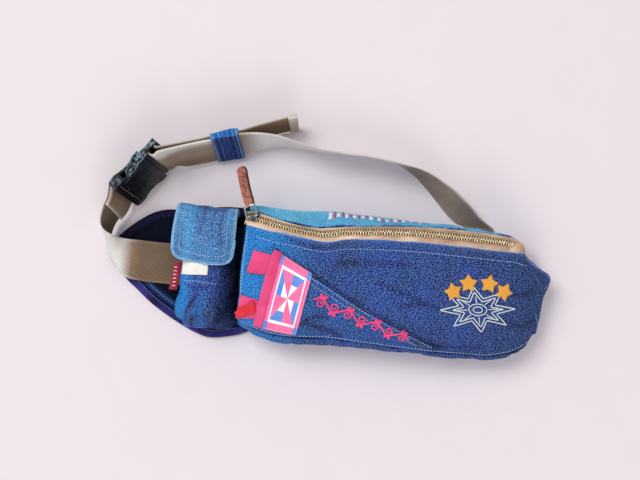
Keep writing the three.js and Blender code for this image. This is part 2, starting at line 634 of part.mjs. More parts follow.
function makeBuckle() {
  const half = BUCKLE_HALF_WIDTH;
  const edge = [[0, half - 3], [3, half - 0.5], [10, half], [15, half - 2], [21, half - 3.4], [29, half - 3],
    [35, half], [FEMALE_LENGTH, half]];
  const outline = [...edge.map(([s, w]) => [s, -w]), ...edge.map(([s, w]) => [s, w]).reverse()];
  const thick = BUCKLE_HALF_THICK;
  const throat = half - 1.7;
  let female = solidFrom(slab(outline, -thick, thick));
  const cuts = [
    [[12, -throat, -3.6], [FEMALE_LENGTH + 1, throat, 3.6]],     // the cavity that the male plugs into
    [[14, -half - 1, -3.6], [34, half + 1, 3.6]],                // the side windows
    [[4.5, -WEB_HALF - 0.8, -thick - 1], [9, WEB_HALF + 0.8, thick + 1]],   // the webbing slot
  ];
  for (const [low, high] of cuts) female = female.subtract(solidFrom(block(low, high)));
  bucklePiece('buckle_female', geometryFrom(female));

  const male = [
    [[FEMALE_LENGTH + 0.6, -22, -4.5], [47, 22, 4.5]],           // the shoulder
    [[16, -2.5, -1.6], [43, 2.5, 1.6]],                          // the guide tongue
    [[46.5, 20.8, -2.6], [MALE_END, half, 2.6]],                 // the frame's rails
    [[46.5, -half, -2.6], [MALE_END, -20.8, 2.6]],
    [[57.5, -half, -3], [MALE_END, half, 3]],                    // the gripping lip
    [[51, -21, -1.6], [54, 21, 1.6]],                            // the bar that the webbing turns on
  ].map(([low, high]) => solidFrom(block(low, high)));
  bucklePiece('buckle_male', geometryFrom(male.reduce((whole, part) => whole.add(part))));

  const prong = [[FEMALE_LENGTH, 13.5], [FEMALE_LENGTH, 18.5], [36, 18.8], [33, 21.2], [27, 21.8],
    [20, 20.6], [16, 17.6], [17, 15.6], [24, 16.6], [30, 16.6], [36, 14]];
  bucklePiece('prong_upper', slab(prong, -3, 3));
  bucklePiece('prong_lower', slab(prong.map(([s, w]) => [s, -w]).reverse(), -3, 3));
}

makeBody();
makeFrontTrim();
makeZip();
makeSlider();
makePuller();
makeWing();
makePocket();
makeBelt();
makeBuckle();

export default pack;
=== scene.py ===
"""Looks of the denim waist pack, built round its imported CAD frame. Lengths in this script are millimetres
until a mesh is made, and the frame is the CAD's: +X along the pack, +Y to its zipped edge, +Z up."""
import json
import math

import bmesh
import bpy
import numpy as np
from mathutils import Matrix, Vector, noise
from mathutils.bvhtree import BVHTree


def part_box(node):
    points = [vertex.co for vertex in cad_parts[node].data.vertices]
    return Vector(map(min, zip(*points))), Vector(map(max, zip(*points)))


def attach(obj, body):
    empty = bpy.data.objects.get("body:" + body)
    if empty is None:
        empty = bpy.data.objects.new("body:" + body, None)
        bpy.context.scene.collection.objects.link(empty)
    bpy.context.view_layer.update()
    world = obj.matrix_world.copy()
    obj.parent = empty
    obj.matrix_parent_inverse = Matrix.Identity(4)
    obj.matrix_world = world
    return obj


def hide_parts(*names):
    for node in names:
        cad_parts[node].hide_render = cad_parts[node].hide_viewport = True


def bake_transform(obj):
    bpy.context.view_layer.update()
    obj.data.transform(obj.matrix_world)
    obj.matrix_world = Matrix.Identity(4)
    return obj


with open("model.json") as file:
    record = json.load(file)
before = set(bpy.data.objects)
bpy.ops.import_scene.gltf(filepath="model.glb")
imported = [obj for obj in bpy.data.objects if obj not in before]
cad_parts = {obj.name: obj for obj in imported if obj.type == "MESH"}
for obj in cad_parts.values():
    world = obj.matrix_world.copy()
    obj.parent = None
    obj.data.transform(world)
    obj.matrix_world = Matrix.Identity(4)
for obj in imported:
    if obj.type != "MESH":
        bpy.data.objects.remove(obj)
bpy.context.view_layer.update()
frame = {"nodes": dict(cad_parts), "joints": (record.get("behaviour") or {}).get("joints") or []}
MM = 0.001

# ---------------------------------------------------------------- camera, floor and light
CAMERA_HEIGHT = 1.0
CAMERA_OVER = (-0.0798, 0.0419)     # the point of the floor straight under the camera
CAMERA_ROLL = math.radians(6)
LENS = 56.25


def make_camera():
    data = bpy.data.cameras.new("camera")
    data.lens = LENS
    data.sensor_width = 36
    camera = bpy.data.objects.new("camera", data)
    camera.location = (*CAMERA_OVER, CAMERA_HEIGHT)
    camera.rotation_euler = (0, 0, CAMERA_ROLL)
    bpy.context.scene.collection.objects.link(camera)
    bpy.context.scene.camera = camera


def area_light(name, place, target, power, size, color=(1, 1, 1)):
    data = bpy.data.lights.new(name, "AREA")
    data.energy = power
    data.size = size
    data.color = color
    light = bpy.data.objects.new(name, data)
    light.location = place
    light.rotation_euler = (Vector(target) - Vector(place)).to_track_quat("-Z", "Y").to_euler()
    bpy.context.scene.collection.objects.link(light)


def make_studio():
    scene = bpy.context.scene
    scene.view_settings.view_transform = "Standard"
    world = bpy.data.worlds.new("studio")
    scene.world = world
    world.use_nodes = True
    sky = world.node_tree.nodes["Background"]
    sky.inputs["Color"].default_value = (0.96, 0.97, 1.0, 1)
    sky.inputs["Strength"].default_value = 0.46
    area_light("fill", (0.5, -2.6, 2.2), (-0.07, 0.04, 0), 36, 2.0, (1, 0.96, 0.95))
    area_light("key", (-2.4, 2.0, 4.4), (-0.07, 0.04, 0), 172, 2.4, (1, 0.99, 0.97))
    mesh = bpy.data.meshes.new("floor")
    mesh.from_pydata([(-3, -3, 0), (3, -3, 0), (3, 3, 0), (-3, 3, 0)], [], [(0, 1, 2, 3)])
    floor = bpy.data.objects.new("floor", mesh)
    scene.collection.objects.link(floor)
    floor.data.materials.append(floor_paper())


# ---------------------------------------------------------------- material building
class Graph:
    """A material's node tree, with short calls for the nodes used here."""

    def __init__(self, name):
        self.material = bpy.data.materials.new(name)
        self.material.use_nodes = True
        self.tree = self.material.node_tree
        self.bsdf = self.tree.nodes["Principled BSDF"]
        self.coordinates = self.tree.nodes.new("ShaderNodeTexCoord")

    def link(self, out, socket):
        self.tree.links.new(out, socket)

    def node(self, kind, inputs=None, **settings):
        made = self.tree.nodes.new(kind)
        for key, value in settings.items():
            setattr(made, key, value)
        for key, value in (inputs or {}).items():
            socket = made.inputs[key]
            if isinstance(value, bpy.types.NodeSocket):
                self.link(value, socket)
            else:
                socket.default_value = value
        return made

    def space(self, kind="Object", scale=(1, 1, 1), turn=0.0):
        mapping = self.node("ShaderNodeMapping", {"Vector": self.coordinates.outputs[kind]})
        mapping.inputs["Scale"].default_value = scale
        mapping.inputs["Rotation"].default_value = (0, 0, turn)
        return mapping.outputs["Vector"]

    def noise(self, vector, scale, detail=3.0, rough=0.55):
        inputs = {"Vector": vector, "Scale": scale, "Detail": detail, "Roughness": rough}
        return self.node("ShaderNodeTexNoise", inputs).outputs["Fac"]

    def wave(self, vector, scale, distortion=0.0, direction="X", profile="SIN"):
        inputs = {"Vector": vector, "Scale": scale, "Distortion": distortion}
        made = self.node("ShaderNodeTexWave", inputs, bands_direction=direction, wave_profile=profile)
        return made.outputs["Fac"]

    def math(self, kind, a, b=0.0, clamp=False):
        return self.node("ShaderNodeMath", {0: a, 1: b}, operation=kind, use_clamp=clamp).outputs[0]

    def remap(self, value, low, high, to_low=0.0, to_high=1.0):
        inputs = {"Value": value, "From Min": low, "From Max": high, "To Min": to_low, "To Max": to_high}
        return self.node("ShaderNodeMapRange", inputs).outputs["Result"]

    def mix(self, fac, a, b, blend="MIX"):
        made = self.tree.nodes.new("ShaderNodeMix")
        made.data_type = "RGBA"
        made.blend_type = blend
        for key, value in ((0, fac), (6, a), (7, b)):
            socket = made.inputs[key]
            if isinstance(value, bpy.types.NodeSocket):
                self.link(value, socket)
            elif key == 0:
                socket.default_value = value
            else:
                socket.default_value = (*value, 1)
        return made.outputs[2]

    def attribute(self, name):
        return self.node("ShaderNodeAttribute", attribute_name=name).outputs["Fac"]

    def bump(self, height, strength, distance=0.0004, normal=None):
        inputs = {"Height": height, "Strength": strength, "Distance": distance}
        if normal is not None:
            inputs["Normal"] = normal
        return self.node("ShaderNodeBump", inputs).outputs["Normal"]

    def finish(self, color, rough, normal=None, metal=0.0, sheen=0.0, specular=0.5):
        for key, value in (("Base Color", color), ("Roughness", rough), ("Metallic", metal),
                           ("Sheen Weight", sheen), ("Specular IOR Level", specular), ("Normal", normal)):
            if value is None:
                continue
            if isinstance(value, bpy.types.NodeSocket):
                self.link(value, self.bsdf.inputs[key])
            elif key == "Base Color":
                self.bsdf.inputs[key].default_value = (*value, 1)
            else:
                self.bsdf.inputs[key].default_value = value
        return self.material


def srgb(r, g, b):
    """Linear colour from 0..255 display values."""
    return tuple(((c / 255 + 0.055) / 1.055) ** 2.4 if c > 10 else c / 255 / 12.92 for c in (r, g, b))


def scaled(color, by, most=1.0):
    """A colour made darker or lighter, each channel staying under most."""
    return tuple(min(c * by, most) for c in color)


def floor_paper():
    g = Graph("floor_paper")
    fleck = g.noise(g.space(), 30)
    color = g.mix(fleck, srgb(229, 220, 225), srgb(233, 224, 229))
    return g.finish(color, 0.9)


def denim(name, dark, mid, light, bright, wear=0.5, grain=1.0, far=None):
    """Washed twill: indigo slubs over white weft, paler along worn edges and lighter where its per-point
    attribute is above nothing.
    Below nothing that attribute is painted shade, in creases, beside seams and on sides turned from the
    light; far, when given, is painted shade on the pack's right end."""
    g = Graph(name)
    fade_and_painted_light = g.attribute("fade_and_painted_light")
    blotch = g.noise(g.space("Object"), 30, 5, 0.65)
    streak = g.noise(g.space("UV", (860, 1250, 1), 0.35), 1.0, 5, 0.85)
    cross_streak = g.noise(g.space("UV", (420, 1100, 1)), 1.0, 5, 0.85)
    twill = g.wave(g.space("UV", (1, 1, 1), math.radians(28)), 420, 1.2, "X")
    base = g.mix(g.remap(blotch, 0.36, 0.64), dark, mid)
    # Painted shade: the far colour takes over between x = 60 and 120 mm, on the pack's right end.
    if far is not None:
        across = g.node("ShaderNodeSeparateXYZ", {"Vector": g.coordinates.outputs["Object"]}).outputs["X"]
        base = g.mix(g.remap(across, 0.06, 0.12), base, far)
    base = g.mix(g.math("MULTIPLY", fade_and_painted_light, 1.0, True), base, bright)
    speck = g.math("ADD", g.math("MULTIPLY", streak, 0.6), g.math("MULTIPLY", cross_streak, 0.4))
    shade = g.mix(0.92, base, dark)
    color = g.mix(g.math("MULTIPLY", g.remap(speck, 0.505, 0.48), min(grain, 1.0), True), base, shade)
    worn = g.math("ADD", g.remap(speck, 0.515, 0.55), g.math("MULTIPLY", g.attribute("wear"), wear * 1.6))
    pale = g.mix(g.math("MULTIPLY", fade_and_painted_light, 0.7, True), light, tuple(min(c * 1.5 + 0.04, 0.9) for c in bright))
    color = g.mix(g.math("MULTIPLY", worn, 0.8 * grain, True), color, pale)
    # Painted shade: below nothing the per-point attribute darkens the cloth towards a deep copy of its dark
    # colour.
    painted_shade = g.math("MULTIPLY", fade_and_painted_light, -0.85, True)
    color = g.mix(painted_shade, color, scaled(dark, 0.35))
    height = g.math("ADD", g.math("MULTIPLY", twill, 0.5), speck)
    normal = g.bump(height, 0.5, 0.0006)
    return g.finish(color, g.remap(speck, 0.3, 0.7, 0.95, 0.8), normal, specular=0.12)


def webbing_cloth(name, low, high, lit):
    """Cotton webbing: herringbone ribs across the strap. UV is along and across the strap, in metres."""
    g = Graph(name)
    uv = g.node("ShaderNodeSeparateXYZ", {"Vector": g.coordinates.outputs["UV"]})
    along, across = uv.outputs["X"], uv.outputs["Y"]
    fold = g.math("PINGPONG", across, 0.0025)
    slanted = g.math("ADD", along, g.math("MULTIPLY", fold, 0.9))
    rib = g.math("SINE", g.math("MULTIPLY", slanted, 2 * math.pi / 0.0024))
    yarn = g.math("SINE", g.math("MULTIPLY", across, 2 * math.pi / 0.0014))
    speck = g.noise(g.space("UV"), 900, 3, 0.7)
    soil = g.noise(g.space("Object"), 30, 3)
    tone = g.math("ADD", g.math("MULTIPLY", rib, 0.2), g.math("MULTIPLY", yarn, 0.1))
    tone = g.math("ADD", g.math("ADD", tone, g.math("MULTIPLY", speck, 0.55)), g.math("MULTIPLY", soil, 0.5))
    tone = g.remap(tone, 0.15, 0.9)
    # Painted light: above nothing the per-point attribute turns the webbing towards its lit colour, below
    # nothing it paints shade towards a dark copy of its low colour.
    fade_and_painted_light = g.attribute("fade_and_painted_light")
    plain, pale = g.mix(tone, low, high), g.mix(tone, scaled(lit, 0.72), lit)
    color = g.mix(g.math("MULTIPLY", fade_and_painted_light, 1.0, True), plain, pale)
    color = g.mix(g.math("MULTIPLY", fade_and_painted_light, -0.8, True), color, scaled(low, 0.45))
    height = g.math("ADD", g.math("MULTIPLY", rib, 0.6), g.math("MULTIPLY", yarn, 0.4))
    return g.finish(color, 0.88, g.bump(height, 0.6, 0.0006), sheen=0.02, specular=0.2)


def ribbed_cloth(name, low, high, pitch, turn=0.0, rough=0.6, mottle=0.5):
    """Grosgrain, binding or tape: fine ribs of one pitch."""
    g = Graph(name)
    rib = g.wave(g.space("UV", (1, 1, 1), turn), 1 / pitch / 6.2832 * 3.1416, 0.3, "X")
    speck = g.noise(g.space("UV"), 700, 3, 0.7)
    drift = g.remap(g.noise(g.space("Object", (0.5, 1, 1)), 60, 3, 0.6), 0.3, 0.7, -0.6, 0.6)
    tone = g.math("ADD", g.math("MULTIPLY", rib, 0.4), g.math("MULTIPLY", speck, mottle + 0.1))
    tone = g.math("ADD", tone, g.math("MULTIPLY", drift, mottle))
    color = g.mix(g.remap(tone, 0.1, 0.9), low, high)
    color = g.mix(g.math("MULTIPLY", g.attribute("wear"), 0.4, True), color, scaled(high, 1.3, 0.95))
    # Painted shade: below nothing the per-point attribute darkens the cloth towards a dark copy of its low
    # colour.
    shade = g.math("MULTIPLY", g.attribute("fade_and_painted_light"), -0.8, True)
    color = g.mix(shade, color, scaled(low, 0.3))
    return g.finish(color, rough, g.bump(rib, 0.5, 0.0004), sheen=0.08)


def thread(name, low, high, scale=900):
    """Spun embroidery or sewing thread, with its sheen."""
    g = Graph(name)
    twist = g.wave(g.space("UV"), scale, 0.5, "DIAGONAL")
    speck = g.noise(g.space("Object"), 900, 2)
    color = g.mix(g.math("ADD", g.math("MULTIPLY", twist, 0.5), g.math("MULTIPLY", speck, 0.5)), low, high)
    return g.finish(color, 0.5, g.bump(twist, 0.5, 0.0003), sheen=0.3)


def metal(name, dark, bright, rough, scale=700):
    """Antique plated metal: darkened in blotches and scuffed bright."""
    g = Graph(name)
    tarnish = g.noise(g.space("Object"), scale, 4, 0.6)
    color = g.mix(g.remap(tarnish, 0.35, 0.65), dark, bright)
    scratches = g.noise(g.space("Object", (1, 6, 1)), scale * 2, 2)
    roughness = g.remap(tarnish, 0.3, 0.7, rough + 0.12, rough)
    return g.finish(color, roughness, g.bump(scratches, 0.15, 0.0002), metal=1.0)


def leather(name, low, high):
    g = Graph(name)
    cells = g.node("ShaderNodeTexVoronoi", {"Vector": g.space("Object"), "Scale": 900}).outputs["Distance"]
    tone = g.noise(g.space("Object"), 260, 4, 0.6)
    color = g.mix(g.remap(tone, 0.3, 0.7), low, high)
    return g.finish(color, g.remap(tone, 0.3, 0.7, 0.55, 0.42), g.bump(cells, 0.35, 0.0003))


def plastic(name, low, high):
    """Moulded acetal with a fine spark-eroded grain, scuffed in patches, and a painted highlight where it
    faces up and to the left.
    """
    g = Graph(name)
    grain = g.noise(g.space("Object"), 2500, 2)
    scuff = g.noise(g.space("Object", (1, 1, 5)), 160, 4, 0.65)
    color = g.mix(g.remap(scuff, 0.45, 0.75), low, high)
    split = g.node("ShaderNodeSeparateXYZ", {"Vector": g.coordinates.outputs["Normal"]})
    upward = g.math("MULTIPLY", split.outputs["Z"], 0.93)
    leftward = g.math("MULTIPLY", split.outputs["X"], -0.3)
    facing = g.math("ADD", upward, leftward)
    # Painted highlight: light blue on faces turned up and to the left, towards the key light, broken up by
    # the scuffs.
    painted_glint = g.math("MULTIPLY", g.remap(facing, 0.88, 1.0), g.remap(scuff, 0.46, 0.6, 0.0, 1.0))
    color = g.mix(painted_glint, color, srgb(150, 192, 210))
    return g.finish(color, g.remap(scuff, 0.3, 0.7, 0.24, 0.38), g.bump(grain, 0.2, 0.00015))


# ---------------------------------------------------------------- mesh building
def add_uv(mesh, name, places):
    """A UV map from one pair per vertex."""
    index = np.zeros(len(mesh.loops), int)
    mesh.loops.foreach_get("vertex_index", index)
    mesh.uv_layers.new(name=name).data.foreach_set("uv", np.asarray(places, float)[index].ravel())


def new_object(name, verts, faces, material, uv=None, attributes=None):
    """A mesh object from millimetre points. uv holds one pair per vertex, in metres of cloth."""
    mesh = bpy.data.meshes.new(name)
    mesh.from_pydata((np.asarray(verts, float) * MM).tolist(), [], [list(f) for f in faces])
    mesh.validate()
    if uv is not None:
        add_uv(mesh, "UVMap", uv)
    for key, values in (attributes or {}).items():
        made = mesh.attributes.new(key, "FLOAT", "POINT")
        made.data.foreach_set("value", np.asarray(values, np.float32))
    mesh.shade_smooth()
    obj = bpy.data.objects.new(name, mesh)
    bpy.context.scene.collection.objects.link(obj)
    if material is not None:
        mesh.materials.append(material)
    return obj


def grid_faces(rows, columns, wrap=False):
    faces = []
    across = columns if wrap else columns - 1
    for i in range(rows - 1):
        for j in range(across):
            k = (j + 1) % columns
            faces.append((i * columns + j, (i + 1) * columns + j, (i + 1) * columns + k, i * columns + k))
    return faces


def catmull(points, count):
    """A smooth curve through points, resampled evenly into count points."""
    p = np.asarray(points, float)
    p = np.vstack([2 * p[0] - p[1], p, 2 * p[-1] - p[-2]])
    out = []
    for i in range(1, len(p) - 2):
        t = np.linspace(0, 1, 24, endpoint=False)[:, None]
        a, b, c, d = p[i - 1], p[i], p[i + 1], p[i + 2]
        out.append(0.5 * (2 * b + (c - a) * t + (2 * a - 5 * b + 4 * c - d) * t ** 2
                          + (3 * b - a - 3 * c + d) * t ** 3))
    out.append(p[-2][None])
    return resample(np.vstack(out), count)


def steps_along(line):
    """Distance from the start of a line to each of its points."""
    return np.r_[0, np.cumsum(np.linalg.norm(np.diff(np.asarray(line, float), axis=0), axis=1))]


def resample(line, count):
    line = np.asarray(line, float)
    steps = steps_along(line)
    want = np.linspace(0, steps[-1], count)
    return np.stack([np.interp(want, steps, line[:, k]) for k in range(line.shape[1])], 1)


def unit(v):
    v = np.asarray(v, float)
    return v / np.maximum(np.linalg.norm(v, axis=-1, keepdims=True), 1e-9)


def apply_modifiers(obj):
    bpy.context.view_layer.update()
    graph = bpy.context.evaluated_depsgraph_get()
    mesh = bpy.data.meshes.new_from_object(obj.evaluated_get(graph), depsgraph=graph)
    obj.modifiers.clear()
    old = obj.data
    obj.data = mesh
    bpy.data.meshes.remove(old)
    return obj


def thicken(obj, thickness, levels=0):
    """Gives cloth its thickness in mm, inwards from its face, smooths it and applies both."""
    solid = obj.modifiers.new("solid", "SOLIDIFY")
    solid.thickness = thickness * MM
    solid.offset = -1.0
    solid.use_rim = True
    solid.use_even_offset = False
    if levels:
        obj.modifiers.new("smooth", "SUBSURF").levels = levels
    return apply_modifiers(obj)


def coordinates(obj):
    """An object's vertices, in mm."""
    co = np.zeros(len(obj.data.vertices) * 3)
    obj.data.vertices.foreach_get("co", co)
    return co.reshape(-1, 3) / MM


def set_coordinates(obj, points):
    obj.data.vertices.foreach_set("co", (np.asarray(points, float) * MM).ravel())
    obj.data.update()


def join(name, objects):
    """One object from several, keeping their materials and UVs."""
    bpy.ops.object.select_all(action="DESELECT")
    for o in objects:
        o.select_set(True)
    bpy.context.view_layer.objects.active = objects[0]
    bpy.ops.object.join()
    objects[0].name = name
    return objects[0]


def fix_normals(obj):
    """Turns every face of a closed piece outwards."""
    mesh = bmesh.new()
    mesh.from_mesh(obj.data)
    bmesh.ops.recalc_face_normals(mesh, faces=mesh.faces)
    mesh.to_mesh(obj.data)
    mesh.free()


def finish_piece(obj, body, slot, *nodes):
    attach(obj, body)
    if nodes:
        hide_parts(*nodes)
    return obj


def flat_places(x0, x1, y0, y1, rows, columns):
    """Two arrays, the x and the y of an even grid."""
    return np.broadcast_arrays(np.linspace(x0, x1, rows)[:, None], np.linspace(y0, y1, columns)[None])


def box_mm(node):
    low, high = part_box(node)
    return np.array(low) / MM, np.array(high) / MM


# ---------------------------------------------------------------- surfaces
class Curve:
    """A smooth y(x), z(x) through points given in order of x."""

    def __init__(self, *points):
        self.points = np.array(points, float)
        self.slopes = np.gradient(self.points[:, 1:], self.points[:, 0], axis=0)

    def __call__(self, x):
        xs = self.points[:, 0]
        x = np.clip(np.asarray(x, float), xs[0], xs[-1])
        i = np.clip(np.searchsorted(xs, x, side="right") - 1, 0, len(xs) - 2)
        h = (xs[i + 1] - xs[i])[..., None]
        s = (x - xs[i])[..., None] / h
        a, b = self.points[i, 1:], self.points[i + 1, 1:]
        return (a * (1 + 2 * s) * (1 - s) ** 2 + b * s ** 2 * (3 - 2 * s)
                + h * s * (1 - s) * (self.slopes[i] * (1 - s) - self.slopes[i + 1] * s))


def smoothstep(low, high, value):
    s = np.clip((np.asarray(value, float) - low) / (high - low), 0, 1)
    return s * s * (3 - 2 * s)


def grid_normals(grid):
    """Outward normals of a grid whose rows run along the pack and whose columns run round it."""
    return unit(np.cross(np.gradient(grid, axis=0), np.gradient(grid, axis=1)))


def grid_uv(grid):
    """Cloth coordinates in metres: distance along the rows, distance along the columns."""
    u = np.zeros(grid.shape[:2])
    v = np.zeros(grid.shape[:2])
    u[1:] = np.cumsum(np.linalg.norm(np.diff(grid, axis=0), axis=2), axis=0)
    v[:, 1:] = np.cumsum(np.linalg.norm(np.diff(grid, axis=1), axis=2), axis=1)
    mean_u = np.repeat(u.mean(1)[:, None], grid.shape[1], 1)
    return np.stack([mean_u, v], 2) * MM


def edge_distance(grid, sides):
    """Distance in mm from the named sides of a grid: first and last row, first and last column."""
    uv = grid_uv(grid) / MM
    u, v = uv[..., 0], uv[..., 1]
    found = {"row0": u, "row1": u[-1:] - u, "col0": v, "col1": v[:, -1:] - v}
    return np.min([found[s] for s in sides], axis=0) if sides else np.full(grid.shape[:2], 99.0)


def rumple(grid, amount, size, stretch=(1, 1, 1), seed=0.0):
    """Moves a grid in and out along its normals by smooth noise: soft creases about size mm apart."""
    normals = grid_normals(grid)
    at = grid * np.array(stretch) / size + seed
    flat = [noise.noise(Vector(p)) for p in at.reshape(-1, 3)]
    return grid + normals * (np.array(flat).reshape(grid.shape[:2]) * amount * 2)[..., None]


def fold(grid, path, width, height):
    """Raises a soft ridge along a path of [x, y] points, fading at its two ends."""
    line = catmull(path, 40)
    fade = np.sin(np.linspace(0, math.pi, 40)) ** 0.7
    gap = np.linalg.norm(grid[..., None, :2] - line, axis=3)
    nearest = gap.argmin(2)
    rise = height * fade[nearest] * np.exp(-(gap.min(2) / width) ** 2)
    return grid + grid_normals(grid) * rise[..., None]


def along_path(grid, path, width):
    """1 on a path of [x, y] points, falling off over width mm."""
    line = catmull(path, 40)
    gap = np.linalg.norm(grid[..., None, :2] - line, axis=3).min(2)
    return np.exp(-(gap / width) ** 2)


def turned(grid, sides, depth=0.9, width=2.2):
    """Rolls the named sides of a panel inwards, as cloth rolls into a seam."""
    drop = depth * (1 - smoothstep(0, width, edge_distance(grid, sides))) ** 1.5
    return grid - grid_normals(grid) * drop[..., None]


def panel(name, grid, material, thickness=1.6, worn=(), fade_and_painted_light=None, levels=0):
    """A cloth panel from a grid, thickened inwards. worn names the sides that have faded."""
    wear = 1.6 * np.exp(-edge_distance(grid, worn) / 1.5) if worn else np.zeros(grid.shape[:2])
    fade_and_painted_light = np.zeros(grid.shape[:2]) if fade_and_painted_light is None else np.maximum(fade_and_painted_light, -0.8)
    attributes = {"wear": wear.ravel(), "fade_and_painted_light": fade_and_painted_light.ravel()}
    rows, columns = grid.shape[:2]
    obj = new_object(name, grid.reshape(-1, 3), grid_faces(rows, columns), material,
                     grid_uv(grid).reshape(-1, 2), attributes=attributes)
    return thicken(obj, thickness, levels) if thickness else obj


def ring_cap(name, ring, bulge, material, thickness=1.4, rows=9):
    """Closes a ring of points with a disc of cloth that bulges by a vector."""
    middle = ring.mean(0)
    steps = np.linspace(0, 1, rows, endpoint=False)
    grid = np.array([ring * (1 - s) + middle * s + np.array(bulge) * (1 - (1 - s) ** 2) for s in steps])
    points = np.vstack([grid.reshape(-1, 3), middle + np.array(bulge)])
    n = len(ring)
    faces = grid_faces(rows, n, wrap=True)
    last = (rows - 1) * n
    faces += [(last + j, len(points) - 1, last + (j + 1) % n) for j in range(n)]
    uv = points[:, [1, 2]] * MM
    wear = np.zeros(len(points))
    wear[:n] = 0.8
    obj = new_object(name, points, faces, material, uv, attributes={"wear": wear})
    return thicken(obj, thickness)


# ---------------------------------------------------------------- body surface
FLOOR_Z = 2.6
LEFT = box_mm("front_panel")[0][0]
RIGHT = box_mm("front_panel")[1][0]
LID_RIGHT = box_mm("top_panel")[1][0]
KEY_LINES = [
    # lower back edge
    Curve((-152, -44, FLOOR_Z), (-120, -50, FLOOR_Z), (60, -50, FLOOR_Z), (104, -46, FLOOR_Z),
          (128, -36, FLOOR_Z), (143, -24, FLOOR_Z)),
    # bulge of the gusset
    Curve((-152, -47, 25), (-137, -54.5, 26), (-118, -60, 27), (-60, -58.5, 27), (0, -58.5, 27),
          (60, -58, 26), (100, -55, 24), (120, -48, 22), (132, -39, 20), (143, -27, 18)),
    # seam between gusset and front
    Curve((-152, -44.5, 44), (-136, -49, 47), (-118, -52.5, 49), (-60, -51, 50), (0, -53, 48),
          (60, -54, 43), (100, -51.5, 38), (122, -43, 34), (143, -25, 27)),
    # crown of the front
    Curve((-152, -4, 60), (-120, -5, 67), (-60, -6, 71), (0, -6, 70), (60, -6, 66), (104, -4, 58),
          (128, 0, 46), (143, 3, 34)),
    # lower edge of the zip, with the dip where the pack sags
    Curve((-152, 51.5, 60.5), (-121, 46.4, 60.5), (-93, 43.6, 60.5), (-73, 42.2, 60.5), (-57, 46.4, 60.5),
          (-32, 48.8, 60.5), (0, 50.8, 60.5), (52, 51.2, 60.5), (85, 51, 60), (104, 50.8, 58.2),
          (118, 49, 53), (130, 41, 43), (143, 28, 33)),
    # upper edge of the zip
    Curve((-152, 65, 56.5), (-131, 59.8, 56.5), (-105, 54.8, 56.5), (-84, 53.4, 56.5), (-59, 57.1, 56.5),
          (-23, 61.3, 56.5), (18, 64.6, 56.5), (62, 65.4, 56.5), (84, 64.8, 56.3), (104, 62, 55),
          (118, 54.5, 50), (130, 44.5, 41), (143, 31, 32)),
    # fold at the top
    Curve((-152, 69, 32), (-100, 68.8, 32), (-73, 71.2, 32), (-40, 70.8, 32), (0, 69.2, 32), (50, 68.8, 32),
          (90, 66, 32), (104, 63.5, 31), (118, 56.5, 28), (130, 46, 24), (143, 34, 20)),
    # upper back edge
    Curve((-152, 64, FLOOR_Z), (90, 63.5, FLOOR_Z), (104, 61, FLOOR_Z), (128, 46, FLOOR_Z),
          (143, 31, FLOOR_Z)),
]
# How far the crumpled right end reaches, by height across the pack.
END_REACH = Curve((-42, 128.5, 0), (-34, 135.7, 0), (-27, 138.5, 0), (-17, 138.5, 0), (-5, 134.7, 0),
                  (3, 139.3, 0), (18, 140.5, 0), (27, 146, 0), (31, 144.5, 0), (38, 136, 0), (45, 128, 0),
                  (52, 122, 0))


def body(x, t):
    """Points of the body. t runs 0 to 7 round it, through the eight key lines in order."""
    x, t = np.broadcast_arrays(np.asarray(x, float), np.asarray(t, float))
    keys = np.stack([line(x) for line in KEY_LINES])
    k = np.clip(t.astype(int), 0, 6)
    f = t - k
    take = lambda index: np.take_along_axis(keys, index[None, ..., None], 0)[0]
    straight = take(k) * (1 - f)[..., None] + take(k + 1) * f[..., None]
    first = np.where(k < 2, 0, 2)
    s = ((t - first) / 2)[..., None]
    a, b, c = (take(np.minimum(first + i, 7)) for i in range(3))
    arc = a * 2 * (s - 0.5) * (s - 1) + b * 4 * s * (1 - s) + c * 2 * s * (s - 0.5)
    yz = np.where((k < 4)[..., None], arc, straight)
    reach = END_REACH(yz[..., 0])[..., 0]
    start = 108 + 20 * smoothstep(5, -20, yz[..., 0])
    warped = x + (reach - RIGHT) * smoothstep(0, 1, (x - start) / (RIGHT - start))
    return np.stack([warped, yz[..., 0], yz[..., 1]], -1)


def body_grid(x0, x1, t0, t1, rows, columns):
    return body(np.linspace(x0, x1, rows)[:, None], np.linspace(t0, t1, columns)[None])


# ---------------------------------------------------------------- cloth simulation
def inflate(obj, pins, cap, slack, pressure, frames=20):
    """Fills a sewn cloth piece by simulation. pins holds each point in place: 0 is free and 1 is sewn."""
    start = coordinates(obj)
    sewn = obj.vertex_groups.new(name="sewn")
    for index, weight in enumerate(pins):
        sewn.add([index], float(weight), "REPLACE")
    settings = obj.modifiers.new("cloth", "CLOTH").settings
    settings.quality = 6
    settings.mass = 0.3
    settings.tension_stiffness = 12
    settings.compression_stiffness = 12
    settings.bending_stiffness = 0.4
    settings.use_pressure = True
    settings.uniform_pressure_force = pressure
    settings.effector_weights.gravity = 0
    settings.vertex_group_mass = "sewn"
    settings.shrink_min = -slack
    scene = bpy.context.scene
    for step in range(1, frames + 1):
        scene.frame_set(step)
    graph = bpy.context.evaluated_depsgraph_get()
    moved = np.zeros(len(start) * 3)
    obj.evaluated_get(graph).data.vertices.foreach_get("co", moved)
    shift = moved.reshape(-1, 3) / MM - start
    size = np.linalg.norm(shift, axis=1, keepdims=True)
    shift *= cap * np.tanh(size / cap) / np.maximum(size, 1e-9)
    obj.modifiers.clear()
    obj.vertex_groups.clear()
    scene.frame_set(1)
    set_coordinates(obj, start + shift)


def simulated(grid, pins, cap, slack=0.02, pressure=4.0):
    """The grid as cloth simulation leaves it."""
    rows, columns = grid.shape[:2]
    obj = new_object("trial", grid.reshape(-1, 3), grid_faces(rows, columns), None)
    inflate(obj, pins.ravel(), cap, slack, pressure)
    result = coordinates(obj).reshape(grid.shape)
    bpy.data.meshes.remove(obj.data)
    return result


